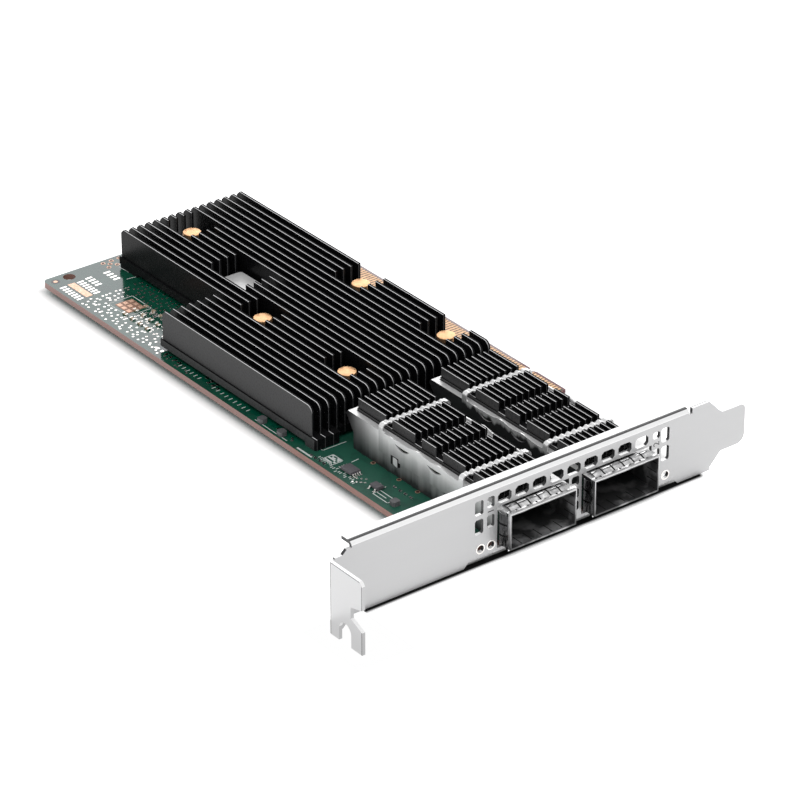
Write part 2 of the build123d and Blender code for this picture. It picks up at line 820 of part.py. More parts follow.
z_window_top = z_top + cage_height + collar_reach
vent_row_z = z_window_top + vent_gap + vent_height / 2
outer_vents_x = (windows_x[0] - outer_vents_from_windows[0], windows_x[1] + outer_vents_from_windows[1])
inner_vents_x = (windows_x[0] - inner_vents_from_windows[0], windows_x[1] + inner_vents_from_windows[1])
middle_vent_width = middle_vent_share * (port_pitch - cage_width - 2 * collar_reach)
vent_row = [(x_tab + first_vent + i * vent_pitch, vent_row_z) for i in range(vent_count)]
vents = [vent_blocks(vent_row, vent_width, vent_height)]
for columns_x, width, levels in (
    (outer_vents_x, outer_vent_width, outer_vent_levels),
    (inner_vents_x[:1], inner_vent_width, left_inner_vent_levels),
    (inner_vents_x[1:], inner_vent_width, right_inner_vent_levels),
    ((sum(ports_x) / port_count,), middle_vent_width, middle_vent_levels),
):
    for low, high in levels:
        vents.append(
            vent_blocks([(x, z_bracket + (low + high) / 2) for x in columns_x], width, high - low)
        )

with BuildPart() as bracket:
    with BuildSketch(Plane.XZ.offset(-y_face)):
        with BuildLine():
            Polyline(
                (x_tab + fold_band, z_bracket - left_drop),
                (x_tab + left_drop_flat, z_bracket - left_drop),
                (x_tab + left_drop_run, z_bracket),
                (ears_x[0] - raised_edge, z_bracket),
                (ears_x[0], z_bracket + raised_edge),
                (x_raised_end, z_bracket + raised_edge),
                (x_raised_end + raised_edge, z_bracket),
                (x_plate_end, z_bracket),
                (x_plate_end, z_bracket + plate_end_rise),
                (tongue_x, tongue_z),
                (x_tip, tongue_z),
                (x_tip, tongue_z + tongue_width),
                (tongue_x, tongue_z + tongue_width),
                (tongue_x - taper_run, z_bracket_top),
                (slit_x, z_bracket_top),
                (slit_x, z_fold),
                (x_flange_start - fold_band, z_fold),
                (x_tab + left_drop_flat, z_bracket + plate_left_height),
                (x_tab + fold_band, z_bracket + plate_left_height),
                close=True,
            )
        make_face()
        fillet(vertices().group_by(Axis.X)[-1].sort_by(Axis.Y)[0], tongue_bottom_radius)
        fillet(vertices().group_by(Axis.X)[-1].sort_by(Axis.Y)[-1], tongue_top_radius)
        neck = vertices().filter_by_position(Axis.X, tongue_x - sheet_clearance, tongue_x + sheet_clearance)
        fillet(neck, tongue_neck_radius)
        for x, width in zip(ears_x, ear_widths):
            with Locations((x, z_bracket)):
                Rectangle(
                    width,
                    z_ear + fold_band - z_bracket,
                    align=(Align.MIN, Align.MIN),
                    mode=Mode.SUBTRACT,
                )
        for port_x in ports_x:
            with Locations((port_x, z_top + cage_height / 2)):
                Rectangle(
                    cage_width + 2 * collar_reach, cage_height + 2 * collar_reach, mode=Mode.SUBTRACT
                )
        with Locations(*[(x, z_top + lamp_rise) for x in lamps_x]):
            Circle(lamp_hole_radius, mode=Mode.SUBTRACT)
    extrude(amount=-sheet)
    add(vents, mode=Mode.SUBTRACT)
    add([top_flange, tab, *ears])
    fillet(
        bracket.edges()
        .filter_by(Axis.Z)
        .filter_by_position(Axis.X, x_flange_end - fold_band, x_flange_end + fold_band)
        .sort_by(Axis.Y)[-1],
        flange_corner_radius,
    )
    with BuildSketch(Plane.XY.offset(z_ear)):
        with Locations((ears_x[1], y_face + second_ear_neck)):
            Rectangle(second_ear_flare, ear_length - second_ear_neck, align=(Align.MAX, Align.MIN))
    extrude(amount=sheet)
    with BuildSketch(Plane.XY.offset(z_ear)):
        with Locations(*ear_screw_places):
            Circle(ear_hole_radius)
    extrude(amount=sheet, mode=Mode.SUBTRACT)
    with BuildSketch(Plane.YZ.offset(x_tab)):
        with Locations((y_face - slot_from_face, z_bracket + slot_center_height)):
            Circle(slot_width / 2)
            Rectangle(
                slot_width, left_drop + 2 * slot_center_height, align=(Align.CENTER, Align.MAX)
            )
        with Locations((y_face - tab_reach, z_bracket)):
            Polygon(
                (0, tab_notch_outer_levels[0]),
                (tab_notch_depth, tab_notch_inner_levels[0]),
                (tab_notch_depth, tab_notch_inner_levels[1]),
                (0, tab_notch_outer_levels[1]),
                align=None,
            )
    extrude(amount=sheet, mode=Mode.SUBTRACT)
    fillet(
        bracket.edges().filter_by(Axis.X).group_by(Axis.Y)[0].sort_by(Axis.Z)[-1], tab_corner_radius
    )
save(bracket.part, "bracket")

# Screws through the board into the bracket's ears
with BuildPart() as bracket_screws:
    with BuildSketch(Plane.XY.offset(z_top)):
        with Locations(*ear_screw_places):
            Circle(ear_screw_head_radius)
    extrude(amount=ear_screw_head_height)
    with BuildSketch(Plane.XY.offset(z_ear - seat_clearance)):
        with Locations(*ear_screw_places):
            Circle(ear_screw_radius)
    extrude(amount=z_top - z_ear + seat_clearance)
    with BuildSketch(Plane.XY.offset(z_top + ear_screw_head_height)):
        with Locations(*ear_screw_places):
            RegularPolygon(ear_screw_recess_radius, 6)
    extrude(amount=-ear_screw_recess_depth, mode=Mode.SUBTRACT)
save(bracket_screws.part, "bracket_screws")

# Lamps on the board's front edge, each with a round nose towards its hole
with BuildPart() as status_lamps:
    with BuildSketch(Plane.XY.offset(z_top)):
        with Locations(*[(x, y_front + lamp_length / 2) for x in lamps_x]):
            Rectangle(lamp_width, lamp_length)
    extrude(amount=lamp_height)
    with BuildSketch(Plane.XZ.offset(-y_front)):
        with Locations(*[(x, z_top + lamp_rise) for x in lamps_x]):
            RegularPolygon(lamp_rise - seat_clearance, 8)
    extrude(amount=(board_from_face - sheet) / 2)
save(status_lamps.part, "status_lamps")


def make_leaded_chip(place, turn, width, length, height, lead_count, pitch):
    """A moulded body with a row of flat leads along each of its sides, turned about Z."""
    center = Location((x_edge + place[0], y_face + place[1], 0), (0, 0, turn))
    with BuildPart() as chip:
        with BuildSketch(Plane.XY.offset(z_top + lead_height / 2)):
            with Locations(center):
                Rectangle(width, length)
        extrude(amount=height - lead_height / 2)
        chamfer(chip.edges().group_by(Axis.Z)[-1], lead_height / 2)
        with BuildSketch(Plane.XY.offset(z_top)):
            with Locations(center):
                with GridLocations(width + lead_reach, pitch, 2, lead_count):
                    Rectangle(lead_reach + lead_height, lead_width)
        extrude(amount=lead_height)
    return chip.part


save(
    make_leaded_chip(
        memory_place,
        memory_turn,
        memory_length,
        memory_width,
        memory_height,
        memory_lead_count,
        memory_lead_pitch,
    ),
    "memory_chip",
)
save(
    make_leaded_chip(
        regulator_place,
        regulator_turn,
        regulator_width,
        regulator_length,
        regulator_height,
        regulator_lead_count,
        regulator_lead_pitch,
    ),
    "regulator_chip",
)

# Coils, capacitors and resistors on the component side, and capacitors below the chip
with BuildPart() as power_coils:
    with BuildSketch(Plane.XY.offset(z_top)) as coil_plan:
        with Locations(*[(x_edge + x, y_face + y) for x, y in coil_places]):
            Rectangle(coil_size, coil_size)
        chamfer(coil_plan.vertices(), coil_corner_cut)
    extrude(amount=coil_height)
save(power_coils.part, "power_coils")


def make_bank(banks, bank_counts, width, length, height, level):
    """Plain blocks in banks, each bank a grid of columns and rows about its centre."""
    with BuildPart() as bank:
        with BuildSketch(Plane.XY.offset(level)):
            for (x, y, pitch), (columns, rows) in zip(banks, bank_counts):
                with Locations((x_edge + x, y_face + y)):
                    with GridLocations(pitch, pitch, columns, rows):
                        Rectangle(width, length)
        extrude(amount=height)
    return bank.part


for name, banks, bank_counts, width, length, height, level in (
    (
        "ceramic_capacitors",
        capacitor_banks,
        capacitor_bank_counts,
        capacitor_width,
        capacitor_length,
        capacitor_height,
        z_top,
    ),
    (
        "chip_resistors",
        resistor_banks,
        resistor_bank_counts,
        resistor_width,
        resistor_length,
        resistor_height,
        z_top,
    ),
    (
        "lower_capacitors",
        lower_capacitor_banks,
        lower_capacitor_bank_counts,
        resistor_width,
        resistor_length,
        resistor_width,
        z_bottom - resistor_width,
    ),
):
    save(make_bank(banks, bank_counts, width, length, height, level), name)
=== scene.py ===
"""Looks of a two-port network interface card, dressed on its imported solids.

Sizes in the classes below are millimetres in the card's own frame: +X points out of the edge
connector, +Y along the board away from the bracket and +Z away from the component side.
Board places are given as (x, y), with x from the long edge opposite the connector and y from
the bracket's outer face. Meshes are written in metres.
"""

import logging
import math
from dataclasses import dataclass
from enum import Enum
from typing import Sequence

import bpy
import numpy as np
from mathutils import Matrix, Vector


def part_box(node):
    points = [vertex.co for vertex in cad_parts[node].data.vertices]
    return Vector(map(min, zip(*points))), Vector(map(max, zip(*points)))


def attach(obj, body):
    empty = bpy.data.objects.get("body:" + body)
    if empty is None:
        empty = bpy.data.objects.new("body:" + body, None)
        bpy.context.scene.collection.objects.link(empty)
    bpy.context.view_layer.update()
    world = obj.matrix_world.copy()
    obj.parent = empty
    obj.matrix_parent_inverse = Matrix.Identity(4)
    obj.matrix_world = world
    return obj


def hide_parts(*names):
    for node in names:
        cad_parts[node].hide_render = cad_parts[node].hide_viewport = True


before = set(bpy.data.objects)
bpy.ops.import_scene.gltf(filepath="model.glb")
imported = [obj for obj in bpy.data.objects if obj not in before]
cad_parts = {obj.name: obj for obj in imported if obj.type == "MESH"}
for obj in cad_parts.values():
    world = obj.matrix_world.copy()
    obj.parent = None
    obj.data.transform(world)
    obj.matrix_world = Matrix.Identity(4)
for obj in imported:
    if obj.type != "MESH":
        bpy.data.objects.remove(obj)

LOG = logging.getLogger("card")
MM = 0.001
NOISE_RANGE = (0.3, 0.7)
FILM = 0.02
WHITE = (1.0, 1.0, 1.0, 1.0)
Colour = tuple[float, float, float]
Place = tuple[float, float]
Round = tuple[float, int]


@dataclass
class Shape:
    """A mesh in the making: corner points in millimetres and faces as lists of point numbers."""

    points: np.ndarray
    faces: list[list[int]]

    @staticmethod
    def joined(shapes: Sequence["Shape"]) -> "Shape":
        """Join several shapes, each one's face numbers raised by the points before it."""
        starts = np.cumsum([0] + [len(s.points) for s in shapes])
        faces = [[i + int(start) for i in face] for s, start in zip(shapes, starts) for face in s.faces]
        return Shape(np.concatenate([s.points for s in shapes]), faces)

    def outward(self) -> "Shape":
        """Turn the faces outwards.

        Formula: the sum of a . (b x c) over the triangles that fan each face is six times the
        volume inside, and it is negative when the faces point inwards.

        Returns:
            This shape, with every face turned round if that sum was negative.
        """
        fans = [(f[0], f[k], f[k + 1]) for f in self.faces for k in range(1, len(f) - 1)]
        a, b, c = self.points[np.array(fans).T]
        if float(np.einsum("ij,ij->", a, np.cross(b, c))) < 0:
            self.faces = [face[::-1] for face in self.faces]
        return self

    def turned(self, matrix: Matrix) -> "Shape":
        """Carry every point by a 4 x 4 matrix."""
        m = np.array(matrix)
        return Shape(self.points @ m[:3, :3].T + m[:3, 3], self.faces)


def lattice(points: np.ndarray, wrap_v: bool = False, caps: bool = False) -> Shape:
    """Make a grid of points into quads.

    Args:
        points: An array (u, v, 3).
        wrap_v: True where the last column meets the first one.
        caps: True to close the first and last rows with one face each.

    Returns:
        The surface.
    """
    rows, columns = points.shape[:2]
    u = np.arange(rows - 1)[:, None]
    v = np.arange(columns if wrap_v else columns - 1)[None, :]
    after = (v + 1) % columns
    row, above = u * columns, (u + 1) * columns
    quads = np.stack([row + v, row + after, above + after, above + v], -1)
    faces = quads.reshape(-1, 4).tolist()
    if caps:
        first = list(range(columns))
        faces += [first[::-1], [(rows - 1) * columns + i for i in first]]
    return Shape(points.reshape(-1, 3), faces)


def repeated(shape: Shape, places: np.ndarray) -> Shape:
    """Copy a shape to many places, by adding each place (x, y, z) to all of its points."""
    count = len(shape.points)
    points = (shape.points[None] + places[:, None, :]).reshape(-1, 3)
    faces = [[i + k * count for i in face] for k in range(len(places)) for face in shape.faces]
    return Shape(points, faces)


def loft(outlines: np.ndarray, levels: Sequence[float]) -> Shape:
    """Join outlines (k, n, 2), each one flat at its own level in Z.

    Args:
        outlines: The corners of each outline in order.
        levels: The outlines' levels.

    Returns:
        A closed solid, faces outwards.
    """
    points = np.empty((*outlines.shape[:2], 3))
    points[:, :, :2] = outlines
    points[:, :, 2] = np.array(levels)[:, None]
    return lattice(points, wrap_v=True, caps=True).outward()


def prism(outline: np.ndarray, low: float, high: float) -> Shape:
    """Raise a closed outline (n, 2) from one level to another.

    Args:
        outline: The corners in order.
        low: The lower level in Z.
        high: The upper level in Z.

    Returns:
        A closed solid, faces outwards.
    """
    return loft(np.stack([outline, outline]), [low, high])


def circle(radius: float, sides: int) -> np.ndarray:
    """Corners at radius (cos a, sin a), with a in equal steps; a Round is such a radius and count."""
    angle = np.linspace(0, 2 * math.pi, sides, endpoint=False)
    return radius * np.stack([np.cos(angle), np.sin(angle)], -1)


def rectangle(width: float, length: float) -> np.ndarray:
    """The four corners of a rectangle centred on the origin."""
    return np.array([(-1, -1), (1, -1), (1, 1), (-1, 1)]) * np.array([width, length]) / 2


def lathe(profile: Sequence[Place], sides: int) -> Shape:
    """Turn a profile round the Z axis.

    Formula: point (r, z) of the profile goes to (r cos a, r sin a, z) for each angle a.

    Args:
        profile: Points (r, z), the first and last of them close to the axis.
        sides: How many steps there are round the turn.

    Returns:
        A closed solid, faces outwards.
    """
    wall = np.array(profile)
    return loft(wall[:, None, :1] * circle(1.0, sides)[None], wall[:, 1])


def tube(path: np.ndarray, radius: float, sides: int, up: Vector) -> Shape:
    """Carry a circle along a path.

    Formula: at each point the circle lies in the plane of n and b, where t is the path's
    direction, b is t x up made one long, and n is b x t.

    Args:
        path: Points (n, 3) of the centre line.
        radius: The circle's radius.
        sides: How many corners the circle has.
        up: A direction that the path never runs along.

    Returns:
        A closed solid, faces outwards.
    """
    along = np.gradient(path, axis=0)
    along /= np.linalg.norm(along, axis=1, keepdims=True)
    aside = np.cross(along, np.array(up))
    aside /= np.linalg.norm(aside, axis=1, keepdims=True)
    over = np.cross(aside, along)
    ring = circle(radius, sides)
    points = path[:, None] + ring[None, :, :1] * aside[:, None] + ring[None, :, 1:] * over[:, None]
    return lattice(points, wrap_v=True, caps=True).outward()


def bent_strip(path: Sequence[Place], thickness: float, width: float) -> Shape:
    """Bend a flat strip along a path in the XZ plane.

    Formula: the path is moved by half the thickness along its normal to each side, the two
    lines are joined to one outline, and the outline is given the width in Y.

    Args:
        path: Points (x, z) of the strip's middle line.
        thickness: The sheet's thickness.
        width: The strip's width in Y.

    Returns:
        A closed solid, faces outwards.
    """
    line = np.array(path, float)
    along = np.gradient(line, axis=0)
    along /= np.linalg.norm(along, axis=1, keepdims=True)
    normal = np.stack([-along[:, 1], along[:, 0]], -1) * thickness / 2
    sections = np.empty((len(line), 4, 3))
    for corner, (side, end) in enumerate(((1, -1), (1, 1), (-1, 1), (-1, -1))):
        sections[:, corner, 0::2] = line + side * normal
        sections[:, corner, 1] = end * width / 2
    return lattice(sections, wrap_v=True, caps=True).outward()


def corners_in(mesh: bpy.types.Mesh) -> np.ndarray:
    """Read a mesh's corner points (n, 3), in the mesh's own unit."""
    points = np.empty(len(mesh.vertices) * 3, np.float32)
    mesh.vertices.foreach_get("co", points)
    return points.reshape(-1, 3).astype(float)


def filled(curve: bpy.types.Curve) -> Shape:
    """Fill a flat curve or a text, merge the points that fall together and remove the curve."""
    source = bpy.data.objects.new("filled", curve)
    mesh = bpy.data.meshes.new_from_object(source)
    bpy.data.objects.remove(source)
    bpy.data.curves.remove(curve)
    points = corners_in(mesh)
    first, same = np.unique(np.round(points, 4), axis=0, return_index=True, return_inverse=True)[1:]
    same = same.reshape(-1)
    faces = [[int(same[i]) for i in polygon.vertices] for polygon in mesh.polygons]
    bpy.data.meshes.remove(mesh)
    return Shape(points[first], [face for face in faces if len(set(face)) == len(face)]).outward()


def cut_sheet(outlines: Sequence[np.ndarray], thickness: float) -> Shape:
    """Cut a flat sheet, half its thickness to each side of the XY plane.

    Args:
        outlines: Closed lines (n, 2), the outer one first and then the holes.
        thickness: The sheet's thickness.

    Returns:
        A closed solid, faces outwards.
    """
    curve = bpy.data.curves.new("outline", "CURVE")
    curve.dimensions = "2D"
    curve.fill_mode = "BOTH"
    curve.extrude = thickness / 2
    for outline in outlines:
        spline = curve.splines.new("POLY")
        spline.points.add(len(outline) - 1)
        corners = np.column_stack([outline, np.zeros(len(outline)), np.ones(len(outline))])
        spline.points.foreach_set("co", corners.ravel())
        spline.use_cyclic_u = True
    return filled(curve)


def arc(center: Place, radius: float, start: float, end: float, steps: int = 6) -> np.ndarray:
    """Points centre + radius (cos a, sin a), with a in degrees from start to end."""
    angle = np.radians(np.linspace(start, end, steps))
    return np.array(center) + radius * np.stack([np.cos(angle), np.sin(angle)], -1)


def placing(along_x: Sequence[float], along_y: Sequence[float], place: Sequence[float]) -> Matrix:
    """Give the matrix that lays local X and Y along two directions and the origin at a place."""
    x, y = Vector(along_x), Vector(along_y)
    return Matrix.Translation(Vector(place)) @ Matrix((x, y, x.cross(y))).transposed().to_4x4()


def standing(place: Sequence[float]) -> Matrix:
    """Give the matrix that stands a flat sheet up at a place, its X along Y and its Y along Z."""
    return placing((0, 1, 0), (0, 0, 1), place)


def row_of(count: int, pitch: float) -> np.ndarray:
    """Give evenly spaced numbers with their middle at 0."""
    return (np.arange(count) - (count - 1) / 2) * pitch


def points_at(x: object, y: object, z: object) -> np.ndarray:
    """Give points (n, 3) from three coordinates, each a row of numbers or one number for all."""
    return np.column_stack(np.broadcast_arrays(x, y, z))


def box_mm(node: str) -> tuple[np.ndarray, np.ndarray]:
    """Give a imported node's lowest and highest corners in millimetres."""
    low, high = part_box(node)
    return np.array(low) / MM, np.array(high) / MM


def solids_of(node: str) -> np.ndarray:
    """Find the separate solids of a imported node.

    Formula: each corner starts with its own number, and every face gives its lowest number to
    its corners until nothing changes; corners with one number are one solid.

    Args:
        node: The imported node's name.

    Returns:
        An array (solids, 2, 3) of each one's lowest and highest corners in millimetres.
    """
    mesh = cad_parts[node].data
    points = corners_in(mesh) / MM
    corners = np.empty(len(mesh.loops), np.int32)
    mesh.loops.foreach_get("vertex_index", corners)
    same = np.unique(np.round(points, 4), axis=0, return_inverse=True)[1].reshape(-1)
    faces = same[corners].reshape(-1, 3)
    label = np.arange(same.max() + 1)
    while True:
        lowest = label[faces].min(axis=1)
        fresh = label.copy()
        np.minimum.at(fresh, faces.ravel(), np.repeat(lowest, 3))
        if np.array_equal(fresh, label):
            break
        label = fresh
    owner = label[same]
    boxes = [(points[owner == i].min(0), points[owner == i].max(0)) for i in np.unique(owner)]
    return np.array(boxes)


def feet_of(solids: np.ndarray) -> np.ndarray:
    """Give the middle of each solid's lower side, from the boxes that solids_of finds."""
    middles = solids.mean(axis=1)
    return points_at(middles[:, 0], middles[:, 1], solids[:, 0, 2])


class Grain(Enum):
    """Which way the fine marks of a finish run."""

    EVEN = (1.0, 1.0, 1.0)
    ALONG_X = (0.03, 1.0, 1.0)
    ALONG_Y = (1.0, 0.03, 1.0)
    ALONG_Z = (1.0, 1.0, 0.03)


class Graph:
    """A node tree, with short ways to add nodes and links."""

    def __init__(self, tree: bpy.types.NodeTree) -> None:
        """Work in this tree."""
        self.nodes, self.links = tree.nodes, tree.links

    def feed(self, socket: bpy.types.NodeSocket, value: object) -> None:
        """Link a socket to another one, or set it to a plain value."""
        if isinstance(value, bpy.types.NodeSocket):
            self.links.new(value, socket)
        else:
            socket.default_value = value

    def add(self, kind: str, inputs: dict, **settings: object) -> bpy.types.Node:
        """Add a node.

        Args:
            kind: The node's type without its ShaderNode prefix.
            inputs: Sockets by name or number, each with a value or another socket.
            settings: The node's own options.

        Returns:
            The node.
        """
        node = self.nodes.new("ShaderNode" + kind)
        for key, value in settings.items():
            setattr(node, key, value)
        for key, value in inputs.items():
            self.feed(node.inputs[key], value)
        return node

    def ramp(
        self, value: object, start: float, end: float, low: float = 0.0, high: float = 1.0
    ) -> bpy.types.NodeSocket:
        """Carry a value from start to end over to low to high, and hold it there."""
        return self.add("MapRange", {0: value, 1: start, 2: end, 3: low, 4: high}).outputs[0]

    def blend(self, share: object, first: object, second: object) -> bpy.types.NodeSocket:
        """Mix two colours, and give the second one where the share is 1."""
        node = self.add("Mix", {}, data_type="RGBA")
        for socket, value in ((node.inputs[0], share), (node.inputs[6], first), (node.inputs[7], second)):
            if isinstance(value, tuple):
                value = (*value, 1.0)
            self.feed(socket, value)
        return node.outputs[2]

    def maths(self, operation: str, *values: object) -> bpy.types.NodeSocket:
        """Add one step of arithmetic on one, two or three values."""
        return self.add("Math", dict(enumerate(values)), operation=operation).outputs[0]

    def above(self, value: object, level: object) -> bpy.types.NodeSocket:
        """Give 1 where the value is above the level, and 0 elsewhere."""
        return self.maths("GREATER_THAN", value, level)

    def below(self, value: object, level: object) -> bpy.types.NodeSocket:
        """Give 1 where the value is below the level, and 0 elsewhere."""
        return self.maths("LESS_THAN", value, level)

    def times(self, first: object, second: object) -> bpy.types.NodeSocket:
        """Multiply, which means both where the two are 0 or 1."""
        return self.maths("MULTIPLY", first, second)

    def most(self, first: object, second: object) -> bpy.types.NodeSocket:
        """Give the larger one, which means either where the two are 0 or 1."""
        return self.maths("MAXIMUM", first, second)

    def less(self, first: object, second: object) -> bpy.types.NodeSocket:
        """Take the second from the first."""
        return self.maths("SUBTRACT", first, second)

    def seen(self) -> bpy.types.NodeSocket:
        """Give 1 to the rays of the camera, of reflections and through glass, and 0 to others."""
        rays = self.add("LightPath", {}).outputs
        shown = self.most(rays["Is Camera Ray"], rays["Is Glossy Ray"])
        return self.most(shown, rays["Is Transmission Ray"])


class Surface(Graph):
    """The nodes of a new material, with the places and directions that a finish is mixed by."""

    def __init__(self, name: str) -> None:
        """Start a material that holds one principled shader."""
        self.material = bpy.data.materials.new(name)
        self.material.use_nodes = True
        super().__init__(self.material.node_tree)
        self.shader = self.nodes["Principled BSDF"]
        self.where = self.nodes.new("ShaderNodeTexCoord").outputs
        self.place = self.where["Object"]

    def noise(self, size: float, grain: Grain = Grain.EVEN, detail: float = 3.0) -> bpy.types.NodeSocket:
        """Add a noise whose marks are about this size in millimetres, and give its value."""
        scale = [s / (size * MM) for s in grain.value]
        mapping = self.add("Mapping", {"Vector": self.place, "Scale": scale})
        inputs = {"Vector": mapping.outputs[0], "Scale": 1.0, "Detail": detail}
        return self.add("TexNoise", inputs).outputs[0]

    def fill(self, values: dict) -> None:
        """Feed the shader's sockets by their names."""
        for name, value in values.items():
            self.feed(self.shader.inputs[name], value)

    def between(self, value: object, low: float = 0.0, high: float = 1.0) -> bpy.types.NodeSocket:
        """Spread a noise's usual values over low to high, and hold them there."""
        return self.ramp(value, *NOISE_RANGE, low, high)

    def axes(self) -> bpy.types.bpy_prop_collection:
        """Split the place on the object into X, Y and Z, in metres."""
        return self.add("SeparateXYZ", {0: self.place}).outputs

    def facing(self) -> bpy.types.bpy_prop_collection:
        """Split the surface's own direction into X, Y and Z."""
        return self.add("SeparateXYZ", {0: self.where["Normal"]}).outputs


@dataclass(frozen=True)
class Finish:
    """A surface finish: a colour with a fine variation, a roughness range and a slight relief."""

    name: str
    colour: Colour
    second_colour: Colour
    roughness: tuple[float, float]
    metallic: float = 0.0
    refraction: float = 1.5
    mark_size: float = 0.6
    grain: Grain = Grain.EVEN
    relief: float = 0.004
    relief_strength: float = 0.6
    specular: float = 0.5
    tint: Colour = (1.0, 1.0, 1.0)

    def paint(self, graph: Surface) -> object:
        """Give the base colour: the two colours mixed by a noise of twice the mark size."""
        share = graph.between(graph.noise(2 * self.mark_size, self.grain))
        return graph.blend(share, self.colour, self.second_colour)

    def roughen(self, graph: Surface) -> object:
        """Give the roughness: a noise of the mark size spread over the range."""
        return graph.between(graph.noise(self.mark_size, self.grain), *self.roughness)

    def material(self) -> bpy.types.Material:
        """Build the finish once, or find it again by its name.

        Returns:
            The material.
        """
        name = f"finish_{self.name}"
        known = bpy.data.materials.get(name)
        if known is not None:
            return known
        graph = Surface(name)
        height = graph.noise(self.mark_size / 2, self.grain, 2.0)
        lift = {"Height": height, "Distance": self.relief * MM, "Strength": self.relief_strength}
        graph.fill({
            "Metallic": self.metallic,
            "IOR": self.refraction,
            "Specular IOR Level": self.specular,
            "Specular Tint": (*self.tint, 1.0),
            "Base Color": self.paint(graph),
            "Roughness": self.roughen(graph),
            "Normal": graph.add("Bump", lift).outputs[0],
        })
        return graph.material


@dataclass(frozen=True)
class BoardFinish(Finish):
    """Green mask over poured copper on both faces, and bare laminate on the edges."""

    laminate: Colour = (0.30, 0.165, 0.135)
    laminate_second: Colour = (0.36, 0.21, 0.17)
    pour_colour: Colour = (0.004, 0.095, 0.055)
    bevel_colour: Colour = (0.14, 0.055, 0.055)
    bevel_start: float = -1.30
    near_y: float = 3.0
    near_fade: float = 8.0
    near_roughness: float = 0.55
    pour_size: float = 4.5
    pour_level: float = 0.45
    pour_strength: float = 0.5
    grain_size: float = 0.15
    flat_from: float = 0.97

    def roughen(self, graph: Surface) -> object:
        """Give the far half of the board its gloss, and dull the half near the ports."""
        near = graph.ramp(graph.axes()[1], (self.near_y + self.near_fade) * MM, self.near_y * MM)
        return graph.most(graph.times(near, self.near_roughness), super().roughen(graph))

    def paint(self, graph: Surface) -> object:
        """Mix mask, mask over copper and laminate by the place and the surface's direction."""
        mask = super().paint(graph)
        cell = {"Vector": graph.place, "Scale": 1 / (self.pour_size * MM)}
        cells = graph.add("TexVoronoi", cell, distance="CHEBYCHEV")
        pour = graph.above(cells.outputs["Color"], self.pour_level)
        mask = graph.blend(graph.times(pour, self.pour_strength), mask, self.pour_colour)
        upright = graph.below(graph.maths("ABSOLUTE", graph.facing()[2]), self.flat_from)
        at_bevel = graph.above(graph.axes()[0], self.bevel_start * MM)
        grain = graph.between(graph.noise(self.grain_size, Grain.ALONG_Y))
        edges = graph.blend(upright, mask, graph.blend(grain, self.laminate, self.laminate_second))
        return graph.blend(at_bevel, edges, self.bevel_colour)


@dataclass(frozen=True)
class FinFinish(Finish):
    """Black anodised fins along Y, each with a painted highlight line along one edge, and a painted
    reflection on the block's outer side.
    """

    first_side: float = 0.0
    pitch: float = 1.0
    # The line's colours are a painted highlight, brighter on tops than on fronts; the outer side's colour is
    # a painted reflection.
    line_width: float = 0.19
    highlight_line_colour: Colour = (0.80, 0.80, 0.81)
    front_painted_shading: Colour = (0.07, 0.07, 0.072)
    side_painted_reflection: Colour = (0.055, 0.055, 0.056)
    side_depth: float = 0.05
    side_from: float = -0.9
    turned_from: float = 0.5
    sawn_roughness: float = 0.75

    def paint(self, graph: Surface) -> object:
        """Paint a highlight line at the -X side of each fin's top and front, brighter on the top, and a
        painted reflection on the outer -X side.

        Formula: x less the first fin's side, wrapped at the pitch, is under the line's width.
        """
        facing = graph.facing()
        across = graph.less(graph.axes()[0], self.first_side * MM)
        line = graph.below(graph.maths("WRAP", across, self.pitch * MM, 0.0), self.line_width * MM)
        end_on = graph.below(graph.maths("ABSOLUTE", facing[0]), self.turned_from)
        # Painted highlight, brighter where the face looks up.
        light = graph.blend(facing[2], self.front_painted_shading, self.highlight_line_colour)
        tone = graph.blend(graph.times(line, end_on), super().paint(graph), light)
        # Painted reflection on the block's outer -X side.
        outer = graph.below(across, self.side_depth * MM)
        side = graph.times(outer, graph.below(facing[0], self.side_from))
        return graph.blend(side, tone, self.side_painted_reflection)

    def roughen(self, graph: Surface) -> object:
        """Dull the faces that look up, which are sawn and not polished."""
        upward = graph.above(graph.facing()[2], self.turned_from)
        return graph.most(graph.times(upward, self.sawn_roughness), super().roughen(graph))


